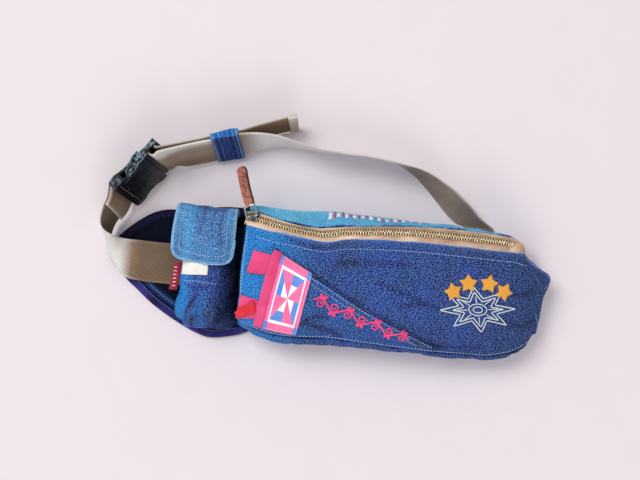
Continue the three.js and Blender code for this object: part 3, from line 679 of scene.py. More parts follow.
# ---------------------------------------------------------------- things laid on the cloth
class Ground:
    """The cloth already made, on which trim and stitches are laid by looking straight down."""

    def __init__(self, *objects):
        points, faces = [], []
        for obj in objects:
            first = len(points)
            points += coordinates(obj).tolist()
            faces += [[first + i for i in p.vertices] for p in obj.data.polygons]
        self.tree = BVHTree.FromPolygons(points, faces)

    def drop(self, places, lift=0.0):
        """Points lifted off the cloth over these [x, y] places, and the cloth's normals there."""
        points, normals = [], []
        for x, y in np.asarray(places, float).reshape(-1, 2):
            hit, normal, _, _ = self.tree.ray_cast(Vector((x, y, 200)), Vector((0, 0, -1)))
            if hit is None:
                hit, normal, _, _ = self.tree.find_nearest(Vector((x, y, 40)))
            points.append(hit + normal * lift)
            normals.append(normal)
        return np.array(points), np.array(normals)


def sweep(path, normals, profile, close_ends=True):
    """Sweeps a closed profile of [sideways, up] points along a path. Gives verts, faces and uvs."""
    along = unit(np.gradient(path, axis=0))
    side = unit(np.cross(normals, along))
    up = np.cross(along, side)
    profile = np.asarray(profile, float)
    verts = path[:, None] + side[:, None] * profile[None, :, :1] + up[:, None] * profile[None, :, 1:]
    rows, columns = verts.shape[:2]
    faces = [tuple(reversed(f)) for f in grid_faces(rows, columns, wrap=True)]
    if close_ends:
        faces.append(tuple(range(columns)))
        faces.append(tuple(reversed(range((rows - 1) * columns, rows * columns))))
    steps, round_ = steps_along(path), steps_along(profile)
    uv = np.stack(np.broadcast_arrays(steps[:, None], round_[None]), 2).reshape(-1, 2) * MM
    return verts.reshape(-1, 3), faces, uv


def squared(value, power):
    """A cosine or sine turned into a squarer one, by a power under 1."""
    return np.sign(value) * np.abs(value) ** power


def circle(radius, sides=8, flat=1.0):
    angle = np.linspace(0, 2 * math.pi, sides, endpoint=False)
    return np.stack([np.cos(angle) * radius, np.sin(angle) * radius * flat], 1)


class Pieces:
    """Collects many small closed shapes into one mesh."""

    def __init__(self):
        self.verts, self.faces, self.uv = [], [], []

    def add(self, verts, faces, uv):
        first = sum(len(v) for v in self.verts)
        self.verts.append(verts)
        self.faces += [tuple(first + i for i in f) for f in faces]
        self.uv.append(uv)

    def make(self, name, material):
        return new_object(name, np.vstack(self.verts), self.faces, material, np.vstack(self.uv))


STITCH_SHAPE = ((0.0, 0.35, -0.5), (0.14, 0.9, 0.3), (0.5, 1.0, 0.75), (0.86, 0.9, 0.3), (1.0, 0.35, -0.5))


def add_stitches(pieces, path, normals, length=2.3, gap=0.9, radius=0.34):
    """Stitches along a path on the cloth, each a short thread that dips in at both ends."""
    steps = steps_along(path)
    count = int((steps[-1] - gap) // (length + gap))
    for k in range(count):
        start = gap + k * (length + gap)
        want = [start + length * s for s, _, _ in STITCH_SHAPE]
        line = np.stack([np.interp(want, steps, path[:, i]) for i in range(3)], 1)
        up = unit(np.stack([np.interp(want, steps, normals[:, i]) for i in range(3)], 1))
        along = unit(np.gradient(line, axis=0))
        side = unit(np.cross(up, along))
        rings = []
        for (_, width, rise), p, u, w in zip(STITCH_SHAPE, line, up, side):
            for angle in np.linspace(0, 2 * math.pi, 6, endpoint=False):
                upward = radius * (rise + width * math.sin(angle))
                rings.append(p + u * upward + w * radius * width * math.cos(angle))
        verts = np.array(rings)
        faces = [tuple(reversed(f)) for f in grid_faces(5, 6, wrap=True)]
        faces += [tuple(range(6)), tuple(reversed(range(24, 30)))]
        uv = np.stack([np.repeat(np.array(want), 6), np.tile(np.arange(6) * 0.3, 5)], 1) * MM
        pieces.add(verts, faces, uv)


def stitch_rows(name, ground, rows, material, lift=0.1, **shape):
    """Rows of stitches over [x, y] paths, as one piece."""
    pieces = Pieces()
    for row in rows:
        line = catmull(row, max(8, int(steps_along(row)[-1] / 1.5)))
        add_stitches(pieces, *ground.drop(line, lift), **shape)
    return pieces.make(name, material)


def draped(name, ground, corners, material, lift, thickness, rows=16, columns=16, waves=0.0, seed=0.0,
           worn=()):
    """A flat piece sewn on the cloth: its corners [x, y] are given round it, first side first."""
    a, b, c, d = (np.array(p, float) for p in corners)
    u = np.linspace(0, 1, rows)[:, None, None]
    v = np.linspace(0, 1, columns)[None, :, None]
    flat = (a * (1 - u) + b * u) * (1 - v) + (d * (1 - u) + c * u) * v
    points, _ = ground.drop(flat, lift)
    grid = points.reshape(rows, columns, 3)
    for _ in range(2):
        z = grid[..., 2]
        grid[1:-1, 1:-1, 2] = (z[:-2, 1:-1] + z[2:, 1:-1] + z[1:-1, :-2] + z[1:-1, 2:]) / 4
    if waves:
        grid = rumple(grid, waves, 9, seed=seed)
    obj = panel(name, grid, material, 0, worn=worn)
    pattern = np.stack(np.broadcast_arrays(u[..., 0], v[..., 0]), 2).reshape(-1, 2)
    add_uv(obj.data, "pattern", pattern)
    return thicken(obj, thickness)


# ---------------------------------------------------------------- main body
SLANT = [(-123, 28), (-96, 14), (-66, -1.4), (-36, -17), (3, -34), (44, -50)]


def body_fade_and_light(grid):
    """How much lighter the denim is made, partly worn fading and partly painted light falling from the left:
    most at the left end, least in the middle.
    """
    x = grid[..., 0]
    return 0.95 * (1 - smoothstep(-138, -66, x)) + 0.10 * np.exp(-((x + 20) / 60) ** 2)


def seam_shade(grid, sides, width=1.3):
    """Painted shade in the groove of a seam."""
    return 1.2 * np.exp(-(edge_distance(grid, sides) / width) ** 2)


FRONT_FOLDS = (
    ([(-66, -36), (-40, -44), (-5, -45), (22, -42)], 3.5, 1.8),
    ([(-30, -50), (10, -48), (50, -50), (80, -47)], 3.0, 1.3),
    ([(-135, 36), (-105, 30), (-80, 26), (-50, 30)], 5.0, 1.6),
    ([(-112, 38), (-92, 33), (-72, 33)], 2.4, 1.1),
    ([(-70, 32), (-30, 34), (20, 36), (60, 33)], 5.5, 1.4),
    ([(-20, 12), (8, 4), (30, -2)], 3.2, 1.3),
    ([(2, -8), (22, -3), (40, -6)], 2.6, 1.2),
    ([(-4, -22), (14, -26), (36, -22)], 2.8, 1.2),
    ([(60, 26), (95, 24), (120, 22), (140, 24)], 5.0, 1.4),
    ([(95, -4), (115, -8), (130, -6), (138, -3)], 4.5, 1.5),
    ([(100, -34), (118, -28), (130, -24), (140, -20)], 4.5, 1.6),
    ([(-146, 44), (-147, 20), (-146, -10), (-143, -34)], 4.0, 1.0),
)
# Painted shade along creases: [x, y] path and width.
FRONT_CREASE_SHADE = (
    ([(-104, -44), (-90, -38), (-70, -40), (-52, -46)], 2.2),
    ([(-86, -34), (-74, -29), (-66, -30)], 1.8),
    ([(-110, 41), (-94, 36), (-76, 35)], 1.6),
    ([(-22, 8), (4, 0), (24, -6)], 2.0),
    ([(0, -12), (20, -8), (38, -10)], 1.6),
    ([(-60, 22), (-30, 26), (0, 27)], 2.4),
    ([(96, 12), (112, 10), (128, 14)], 2.4),
    ([(100, -16), (118, -20), (132, -14)], 2.2),
    ([(20, -44), (50, -46), (84, -44)], 1.8),
)


def make_front(cloth):
    """Front and bottom gusset are filled together, so that the seam between them stays drawn in."""
    columns, seam = 68, 26
    t = np.r_[np.linspace(0, 2, seam, endpoint=False), np.linspace(2, 4, columns - seam)]
    grid = body(np.linspace(LEFT, RIGHT, 150)[:, None], t[None])
    for path, width, height in FRONT_FOLDS:
        grid[:, seam:] = fold(grid[:, seam:], path, width, height * 0.9)
    grid = rumple(grid, 0.55, 26, (0.8, 1.6, 1), 3.1)
    grid = rumple(grid, 0.28, 7, (0.6, 1.4, 1), 5.7)
    pins = np.zeros(grid.shape[:2])
    pins[:, [0, -1]] = 1
    pins[:, seam] = 0.9
    pins[[0, -1]] = 1
    pins[:, seam // 2] = 0.35
    grid = simulated(grid, pins, 3.0, 0.014)
    front = turned(grid[:, seam:], ["col0"], 1.3, 2.6)
    front = turned(front, ["col1", "row0"], 0.7, 2.0)
    gusset = turned(grid[:, :seam + 1], ["col1"], 1.3, 2.6)
    # Painted light and shade: lighter towards the left end, painted shade in the seam's groove and along the
    # creases.
    fade_and_painted_light = body_fade_and_light(front) - seam_shade(front, ["col0"])
    for path, width in FRONT_CREASE_SHADE:
        fade_and_painted_light -= 0.55 * along_path(front, path, width)
    # Painted shadow: a dark line just above the slant pocket's mouth.
    above_mouth = [(x + 0.9, y + 1.8) for x, y in SLANT]
    fade_and_painted_light -= 1.5 * along_path(front, above_mouth, 1.5)
    front_obj = panel("front_cloth", front, cloth["denim"], 1.6, ["row0", "col1"], fade_and_painted_light, 1)
    # The gusset is lighter towards the left end too, with painted shade in its seam's groove.
    fade_and_painted_light = body_fade_and_light(gusset) * 0.8 + 0.05 - seam_shade(gusset, ["col1"])
    gusset_obj = panel("bottom_gusset_cloth", gusset, cloth["denim"], 1.6, (), fade_and_painted_light)
    finish_piece(front_obj, "pack", "denim", "front_panel")
    finish_piece(gusset_obj, "pack", "denim", "bottom_gusset")
    return front_obj, gusset_obj


def make_ends(cloth):
    shoulder = body_grid(LID_RIGHT + 0.6, RIGHT, 4, 7, 34, 46)
    shoulder = rumple(shoulder, 0.9, 14, (0.7, 1.5, 1), 8.2)
    shoulder = turned(shoulder, ["row0", "col0"], 0.8, 2.2)
    obj = panel("right_shoulder_cloth", shoulder, cloth["denim"], 1.6, ["col0"], body_fade_and_light(shoulder), 1)
    finish_piece(obj, "pack", "denim", "right_shoulder")

    ring = body(RIGHT, np.linspace(0, 7, 60))
    end = ring_cap("right_end_cloth", ring, (1.5, 0, 0), cloth["denim"])
    finish_piece(end, "pack", "denim", "right_gusset")
    ring = body(LEFT, np.linspace(0, 7, 70))[::-1]
    end = ring_cap("left_end_cloth", ring, (-1.8, 0, 0), cloth["denim_dark"])
    finish_piece(end, "pack", "denim_dark", "left_gusset")

    rear = body_grid(LEFT, LID_RIGHT, 6.03, 7, 90, 14)
    rear = rumple(rear, 0.5, 22, (0.8, 1, 1.4), 5.5)
    rear = turned(rear, ["col0"], 0.8, 2.0)
    obj = panel("rear_gusset_cloth", rear, cloth["denim_light"], 1.6, ["col0"], body_fade_and_light(rear) * 0.3 + 0.3)
    finish_piece(obj, "pack", "denim_light", "top_gusset")


def make_back(cloth):
    """The back panel is quilted in diamonds over thin foam, with its face on the ground."""
    low, high = box_mm("back_panel")
    x = np.linspace(LEFT - 2.5, RIGHT - 1, 170)[:, None]
    v = np.linspace(0, 1, 70)[None]
    y0, y1 = KEY_LINES[0](x)[..., 0], KEY_LINES[7](x)[..., 0]
    y = y1 + (y0 - y1) * v
    x = np.broadcast_to(x, y.shape)
    pitch = 26
    one = np.abs(((x + y) / pitch) % 1 - 0.5) * pitch
    two = np.abs(((x - y) / pitch) % 1 - 0.5) * pitch
    channel = np.maximum(np.exp(-(one / 1.3) ** 2), np.exp(-(two / 1.3) ** 2))
    grid = np.stack([x, y, np.zeros_like(y)], -1)
    rim = 1 - smoothstep(0, 3, edge_distance(grid, ["row0", "row1", "col0", "col1"]))
    grid[..., 2] = np.maximum(channel * 1.1 * (1 - rim), rim * 0.9)
    obj = panel("back_cloth", grid, cloth["denim_dark"], high[2] - low[2] - 0.4, fade_and_painted_light=np.zeros(y.shape))
    finish_piece(obj, "pack", "denim_dark", "back_panel")

    low, high = box_mm("back_padding")
    x, y = flat_places(low[0] + 1, high[0] - 1, low[1] + 1, high[1] - 1, 80, 34)
    tufts = np.cos((x - low[0]) / 30 * 2 * math.pi) * np.cos((y - low[1]) / 30 * 2 * math.pi)
    grid = np.stack([x, y, high[2] - 0.9 + 0.7 * tufts], -1)
    grid = turned(grid, ["row0", "row1", "col0", "col1"], 2.2, 4)
    obj = panel("back_padding_mesh", grid, cloth["padding"], 2.6)
    finish_piece(obj, "pack", "padding", "back_padding")


def make_lining(cloth):
    """The lining hangs a little inside the front."""
    grid = body_grid(LEFT + 3, LID_RIGHT - 2, 2.15, 3.85, 80, 30)
    grid = rumple(grid - grid_normals(grid) * 4.6, 0.5, 18, seed=2.0)
    obj = panel("front_lining_cloth", grid, cloth["lining"], 0.5)
    finish_piece(obj, "pack", "lining", "front_lining")


def make_top(cloth):
    """The panel that opens with the zip, between the upper tape and the fold at the top."""
    grid = body_grid(LEFT + 1.5, LID_RIGHT, 5.03, 5.97, 130, 26)
    pins = np.zeros(grid.shape[:2])
    pins[:, [0, -1]] = 1
    pins[[0, -1]] = 1
    grid = simulated(rumple(grid, 0.5, 18, (0.8, 1.2, 1.2), 6.4), pins, 1.8, 0.02)
    grid = turned(grid, ["col0"], 1.2, 2.4)
    grid = turned(grid, ["col1", "row0"], 0.8, 2.0)
    # Painted shade: next to the zip tape the panel keeps its dark base colour, with more painted shade in the
    # seam's groove.
    fade_and_painted_light = (body_fade_and_light(grid) * 0.3 + 0.7) * smoothstep(0.5, 3, edge_distance(grid, ["col0"]))
    fade_and_painted_light = fade_and_painted_light - 0.5 * seam_shade(grid, ["col0"], 1.0)
    obj = panel("top_cloth", grid, cloth["denim_light"], 1.6, ["col1"], fade_and_painted_light, 1)
    finish_piece(obj, "lid", "denim_light", "top_panel")


# ---------------------------------------------------------------- slant pocket and front trim
def make_slant_pocket(cloth, ground):
    """A patch pocket over the lower left of the front: its mouth runs down to the right."""
    slant = Curve(*[(x, y, 0) for x, y in SLANT])
    x = np.linspace(-131, 39, 110)[:, None]
    v = np.linspace(0, 1, 40)[None]
    top = slant(x)[..., 0]
    low = KEY_LINES[2](x)[..., 0] + 2.4
    flat = np.stack(np.broadcast_arrays(x, low + (np.maximum(top, low + 0.6) - low) * v), -1)
    points, _ = ground.drop(flat, 0.0)
    grid = points.reshape(110, 40, 3)
    lift = 1.7 * smoothstep(0, 7, edge_distance(grid, ["row0"]))
    grid = grid + grid_normals(grid) * lift[..., None]
    grid = turned(grid, ["col1"], 0.9, 1.6)
    # Lighter towards the left end, partly painted light; painted shade along the creases.
    fade_and_painted_light = body_fade_and_light(grid) * 0.9 + 0.12 * np.exp(-((grid[..., 0] + 60) / 40) ** 2)
    for path, width in FRONT_CREASE_SHADE:
        fade_and_painted_light -= 0.6 * along_path(grid, path, width)
    obj = panel("slant_pocket_cloth", grid, cloth["denim"], 0.9, (), fade_and_painted_light)
    finish_piece(obj, "pack", "denim", "slant_pocket")
    return obj


def beside(path, distance):
    """The path moved sideways, to its left where distance is positive."""
    line = catmull(path, 40)
    along = unit(np.gradient(line, axis=0))
    return line + np.stack([-along[:, 1], along[:, 0]], 1) * distance


def tube_on(ground, path, radius, lift, sides=8, flat=0.7, spacing=1.2):
    points, normals = ground.drop(resample(path, max(6, int(steps_along(path)[-1] / spacing))), lift)
    for _ in range(2):
        normals[1:-1] = unit(normals[:-2] + normals[1:-1] * 2 + normals[2:])
    return sweep(points, normals, circle(radius, sides, flat))


VINE_START, VINE_END = np.array([-80.0, -13.5]), np.array([13.0, -43.0])


def leaf_outline(foot, direction, length, half):
    across = np.array([-direction[1], direction[0]])
    t = np.linspace(0, 1, 15)
    bow = half * np.sin(t * math.pi) ** 0.8
    left = foot + direction * (t * length)[:, None] + across * bow[:, None]
    right = foot + direction * (t * length)[:, None] - across * bow[:, None]
    return np.vstack([left, right[::-1][1:-1]])


def vine_shapes():
    """A scrolling vine: one waving stem, a curl inside each wave and leaves outside it."""
    run = VINE_END - VINE_START
    normal = unit(np.array([-run[1], run[0]]))
    s = np.linspace(0, 1, 190)
    waves = 3.5
    swing = 4.0 * (1 - 0.3 * s) * np.sin(s * waves * 2 * math.pi)
    stem = VINE_START + run * s[:, None] + normal * swing[:, None]
    stems, leaves = [stem], []
    for k in range(7):
        at = (0.25 + 0.5 * k) / waves
        side = 1 if k % 2 == 0 else -1
        crest = stem[int(at * 189)]
        size = 4.6 * (1 - 0.25 * at)
        middle = crest - normal * side * size
        turn = np.linspace(0, 1, 40)
        angle = math.atan2(*(normal * side)[::-1]) - side * turn * 2.6 * math.pi
        radius = size * (1 - 0.72 * turn)
        stems.append(middle + np.stack([np.cos(angle), np.sin(angle)], 1) * radius[:, None])
        for tilt, long in ((1.3, 6.4), (-0.5, 5.0)):
            direction = unit(normal * side + unit(run) * tilt)
            leaves.append(leaf_outline(crest, direction, long * (1 - 0.2 * at), 1.7))
    return stems, leaves


def add_raised(pieces, ground, outline, height=1.0, count=40):
    """A satin-stitched shape: its outline filled to a low rounded top."""
    edge = resample(np.vstack([outline, outline[:1]]), count + 1)[:-1]
    middle = edge.mean(0)
    shrink = (0, 0.08, 0.25, 0.5, 0.75)
    lifts = np.array((0.1, 0.7, 0.95, 1.0, 1.05)) * height
    rings = [edge + (middle - edge) * s for s in shrink]
    layers = [ground.drop(r, h)[0] for r, h in zip(rings, lifts)]
    verts = np.vstack([ground.drop(edge, -0.5)[0], *layers])
    faces = grid_faces(6, count, wrap=True)
    faces += [tuple(reversed(range(count))), tuple(range(5 * count, 6 * count))]
    pieces.add(verts, faces, verts[:, :2] * MM)


def star_outline(center, radius, waist, points, turn, stretch=(1, 1)):
    angle = np.arange(points * 2) * math.pi / points + turn
    size = np.where(np.arange(points * 2) % 2 == 0, radius, waist)
    return np.stack([center[0] + stretch[0] * size * np.cos(angle),
                     center[1] + stretch[1] * size * np.sin(angle)], 1)


def inset_outline(points, distance):
    """A closed outline moved inwards, corner by corner. Its first point is repeated at its end."""
    before, after = np.roll(points, 1, 0), np.roll(points, -1, 0)
    one, two = unit(points - before), unit(after - points)
    inner_one = np.stack([-one[:, 1], one[:, 0]], 1)
    inner_two = np.stack([-two[:, 1], two[:, 0]], 1)
    bisector = (inner_one + inner_two) / (1 + (inner_one * inner_two).sum(1, keepdims=True))
    moved = points + bisector * distance
    return np.vstack([moved, moved[:1]])


def make_embroidery(cloth, ground):
    vine = Pieces()
    stems, leaves = vine_shapes()
    for k, stem in enumerate(stems):
        vine.add(*tube_on(ground, stem, 0.95 if k == 0 else 0.75, 0.5, spacing=0.8))
    for leaf in leaves:
        add_raised(vine, ground, leaf, 1.2, 30)
    scroll = vine.make("vine_embroidery", cloth["pink_thread"])
    fix_normals(scroll)
    finish_piece(scroll, "pack", "ribbon")

    rose = Pieces()
    middle = np.array([73.5, -7.5])
    outline = star_outline(middle, 21.5, 11.0, 8, 0.19, (1.7, 1.0))
    for inset in (0.0, 2.6):
        rose.add(*tube_on(ground, resample(inset_outline(outline, inset), 150), 0.55, 0.35, 6))
    angle = np.linspace(0, 2 * math.pi, 40)
    for ring in (5.4, 2.8):
        oval = middle + ring * np.stack([1.6 * np.cos(angle), np.sin(angle)], 1)
        rose.add(*tube_on(ground, oval, 0.5, 0.35, 6))
    for k in range(8):
        turn = 0.19 + k * math.pi / 4
        reach = np.linspace(6.4, 12.4, 8)
        spoke = np.stack([1.6 * reach * math.cos(turn), reach * math.sin(turn)], 1)
        rose.add(*tube_on(ground, middle + spoke, 0.45, 0.3, 6))
    finish_piece(rose.make("rosette_embroidery", cloth["white_thread"]), "pack", "cream_strip")

    stars = Pieces()
    for (x, y), turn in zip(((48.5, 7.0), (62, 16), (81.5, 17.5), (96.5, 11.5)), (0.35, 0.1, -0.1, -0.4)):
        add_raised(stars, ground, star_outline((x, y), 9.2, 5.3, 5, math.pi / 2 + turn), 1.5, 60)
    starry = stars.make("star_embroidery", cloth["orange_thread"])
    fix_normals(starry)
    finish_piece(starry, "pack", "leather")


# Pieces sewn on the front: name, material, slot, CAD nodes, corners, lift, thickness, rows, columns, waves,
# seed and faded sides.
FRONT_TRIM = (
    ("quilt_patch_cloth", "patch", "printed_patch", ["quilt_patch"],
     [(-126, -46.6), (-93, -49.6), (-83.5, 10.2), (-114, 25)], 1.5, 0.8, 26, 34, 0.25, 4.0, ()),
    ("patch_band_cloth", "pink_cloth", "ribbon", ["patch_band"],
     [(-134.5, -45), (-125.6, -46.4), (-113, 25.6), (-121.5, 28.6)], 2.0, 0.9, 8, 34, 0.2, 9.0, ["row0"]),
    ("ribbon_upper_fold", "pink_cloth", "ribbon", ["ribbon_upper"],
     [(-145, 4.7), (-126, 4.5), (-121, 23), (-140.5, 26)], 1.7, 1.1, 14, 12, 0.9, 2.0, ()),
    ("ribbon_lower_fold", "pink_cloth", "ribbon", ["ribbon_lower"],
     [(-150.5, -39.5), (-131, -38), (-129.5, -20.5), (-149, -17)], 1.2, 1.0, 14, 12, 0.7, 7.0, ()),
    ("ribbon_lower_loop", "red_cloth", "ribbon", [],
     [(-149.2, -39.5), (-131.5, -31), (-134.1, -20.3), (-151.5, -31.2)], 2.9, 1.2, 12, 10, 0.8, 5.0, ()),
)


def make_patch(cloth, ground):
    """The printed patch, its side band and the ribbons. Gives the patch and the band."""
    made = []
    for name, material, slot, nodes, corners, *shape in FRONT_TRIM:
        piece = draped(name, ground, corners, cloth[material], *shape)
        made.append(finish_piece(piece, "pack", slot, *nodes))
    return made[:2]


def make_print(cloth):
    """Short printed dashes along the fold of the top panel, standing for the lettering left out."""
    top = bpy.data.objects["top_cloth"]
    tree = Ground(top).tree
    white, red = Pieces(), Pieces()
    for k in range(24):
        x = -72 + k * 3.9
        tall = 9.0 + 2.2 * math.sin(k * 2.1)
        target = red if k % 2 else white
        wide = 1.6 if k % 2 else 3.6 + 0.6 * math.sin(k * 1.3)
        rows = []
        for s in np.linspace(-0.5, 0.5, 4):
            cols = []
            for r in (-0.5, 0.5):
                at, height = x + r * wide, 39.0 + s * tall
                hit, normal, _, _ = tree.ray_cast(Vector((at, 140, height)), Vector((0, -1, 0)))
                if hit is None:
                    hit, normal, _, _ = tree.find_nearest(Vector((at, 68, height)))
                cols.append((hit, normal))
            rows.append(cols)
        outer = np.array([[p + n * 0.35 for p, n in cols] for cols in rows])
        inner = np.array([[p - n * 0.3 for p, n in cols] for cols in rows])
        verts = np.vstack([outer.reshape(-1, 3), inner.reshape(-1, 3)])
        faces = [tuple(reversed(f)) for f in grid_faces(4, 2)]
        faces += [tuple(8 + i for i in f) for f in grid_faces(4, 2)]
        border = [0, 2, 4, 6, 7, 5, 3, 1]
        faces += [(border[i], border[(i + 1) % 8], 8 + border[(i + 1) % 8], 8 + border[i]) for i in range(8)]
        target.add(verts, faces, verts[:, [0, 2]] * MM)
    finish_piece(white.make("printed_dashes_white", cloth["white_ink"]), "lid", "cream_strip")
    finish_piece(red.make("printed_dashes_red", cloth["red_ink"]), "lid", "red_tab")


# ---------------------------------------------------------------- zip
CHAIN_PITCH = 2.5
TOOTH = (4.5, 1.2, 2.0)      # reach across the chain, width along it, height


def chain_at(x):
    """Middle of the chain and the unit directions along it, across it and out of it."""
    x = np.asarray(x, float)
    low, high = KEY_LINES[4](x), KEY_LINES[5](x)
    ahead_low, ahead_high = KEY_LINES[4](x + 0.5), KEY_LINES[5](x + 0.5)
    middle = np.column_stack([x, (low + high) / 2])
    middle[:, 2] += 0.6
    ahead = np.column_stack([x + 0.5, (ahead_low + ahead_high) / 2])
    ahead[:, 2] += 0.6
    along = unit(ahead - middle)
    across = np.column_stack([np.zeros_like(x), high - low])
    across = unit(across - along * (across * along).sum(1, keepdims=True))
    return middle, along, across, np.cross(along, across)


def add_box(pieces, middle, axes, size, bevel=0.3):
    """A small block with bevelled long edges, given by its middle, its three axes and its size."""
    a, b, c = axes
    x, y, z = (s / 2 for s in size)
    profile = [(-y, -z + bevel), (-y + bevel, -z), (y - bevel, -z), (y, -z + bevel),
               (y, z - bevel), (y - bevel, z), (-y + bevel, z), (-y, z - bevel)]
    verts = [middle + a * side * x + b * p * s + c * q * s
             for side, s in ((-1, 0.8), (-0.8, 1), (0.8, 1), (1, 0.8)) for p, q in profile]
    faces = grid_faces(4, 8, wrap=True)
    faces += [tuple(range(8)), tuple(reversed(range(24, 32)))]
    verts = np.array(verts)
    faces = [tuple(reversed(f)) for f in faces]
    pieces.add(verts, faces, verts[:, :2] * MM)


def make_teeth(name, side, x0, x1, node, body_name, material):
    pieces = Pieces()
    xs = np.arange(x0, x1, CHAIN_PITCH) + (CHAIN_PITCH / 2 if side > 0 else 0)
    for middle, along, across, out in zip(*chain_at(xs)):
        at = middle + across * side * (TOOTH[0] / 2 - 0.85)
        slant = unit(across + along * 0.28 * side)
        add_box(pieces, at, (slant, unit(np.cross(out, slant)), out), TOOTH, 0.35)
    finish_piece(pieces.make(name, material), body_name, "zip_brass", node)


def make_tape(name, side, x0, x1, node, body_name, material, tuck=2.0):
    """Half of the zip tape: woven band from the chain to under the denim edge."""
    xs = np.linspace(x0, x1, 150)
    middle, _, across, out = chain_at(xs)
    edge = KEY_LINES[4](xs) if side < 0 else KEY_LINES[5](xs)
    reach = np.abs(((np.column_stack([xs, edge]) - middle) * across).sum(1)) + tuck
    steps = np.linspace(0, 1, 9)
    rows = [middle + across * (side * (1.3 + (reach - 1.3) * s))[:, None]
            - out * (0.9 + 0.5 * s ** 2 - 0.7 * math.sin(s * math.pi)) for s in steps]
    grid = np.stack(rows, 1)
    if side < 0:
        grid = grid[:, ::-1]
    grid = rumple(grid, 0.16, 7, (1, 0.4, 0.4), 3.3)
    chain_side = "col1" if side < 0 else "col0"
    shadow = -1.0 * np.exp(-(edge_distance(grid, [chain_side]) / 1.6) ** 2)
    shadow = shadow - 0.55 * np.exp(-((grid[..., 0] + 25) / 26) ** 2) * (side > 0)
    shadow = shadow - 0.3 * smoothstep(-10, 70, grid[..., 0]) - 0.22 * np.sin(grid[..., 0] / 9) ** 2
    obj = panel(name, grid, material, 0.7, ["col0" if side < 0 else "col1"], shadow)
    finish_piece(obj, body_name, "zip_tape", node)


def make_tape_end(cloth):
    """Past the stop the two tapes are folded together and run out to a point on the shoulder."""
    rows, columns = 40, 15
    grid = body_grid(LID_RIGHT - 6, 124, 3.98, 5.0, rows, columns)
    v = np.linspace(0, 1, columns)[None]
    u = np.linspace(0, 1, rows)[:, None]
    crown = 0.15 + 1.5 * np.sin(v * math.pi) ** 0.6 * np.sin(u * math.pi) ** 0.7
    grid = rumple(grid + grid_normals(grid) * crown[..., None], 0.35, 7, (0.4, 1, 1), seed=1.7)
    pinch = smoothstep(0.6, 1.0, u)[..., None] * 0.8
    grid = grid * (1 - pinch) + grid.mean(1, keepdims=True) * pinch
    shade = -0.55 * smoothstep(0.05, 0.6, u) * (0.6 + 0.4 * np.cos(v * math.pi))
    obj = panel("tape_end_cloth", grid, cloth["zip_tape"], 1.4, ["col0"], shade)
    finish_piece(obj, "pack", "zip_tape")


def refined(name, nodes, body_name, slot, material, width, segments=2):
    """Bevelled copies of hard CAD nodes, so that their edges catch the light."""
    made = []
    for node in nodes:
        source = frame["nodes"][node]
        mesh = bmesh.new()
        mesh.from_mesh(source.data)
        bmesh.ops.remove_doubles(mesh, verts=mesh.verts, dist=1e-6)
        flat = [e for e in mesh.edges if len(e.link_faces) == 2 and e.calc_face_angle(0) < 0.02]
        bmesh.ops.dissolve_edges(mesh, edges=flat, use_verts=False)
        sharp = [e for e in mesh.edges if len(e.link_faces) == 2 and e.calc_face_angle(0) > 0.5]
        bmesh.ops.bevel(mesh, geom=sharp, offset=width * MM, segments=segments, affect="EDGES",
                        clamp_overlap=True, profile=0.6)
        bmesh.ops.recalc_face_normals(mesh, faces=mesh.faces)
        data = bpy.data.meshes.new(node)
        mesh.to_mesh(data)
        mesh.free()
        for polygon in data.polygons:
            polygon.use_smooth = True
        obj = bpy.data.objects.new(node + "_fine", data)
        bpy.context.scene.collection.objects.link(obj)
        weighted = obj.modifiers.new("normals", "WEIGHTED_NORMAL")
        weighted.keep_sharp = True
        apply_modifiers(obj)
        obj.data.materials.clear()
        obj.data.materials.append(material)
        made.append(obj)
    obj = join(name, made) if len(made) > 1 else made[0]
    obj.name = name
    return finish_piece(obj, body_name, slot, *nodes)


PULLER_DIRECTION = unit(np.array([-0.33, 0.94, 0.09]))
PULLER_ROLL = 0.5
LEATHER_START, LEATHER_LENGTH, LEATHER_WIDTH = 9.2, 38.5, 9.0


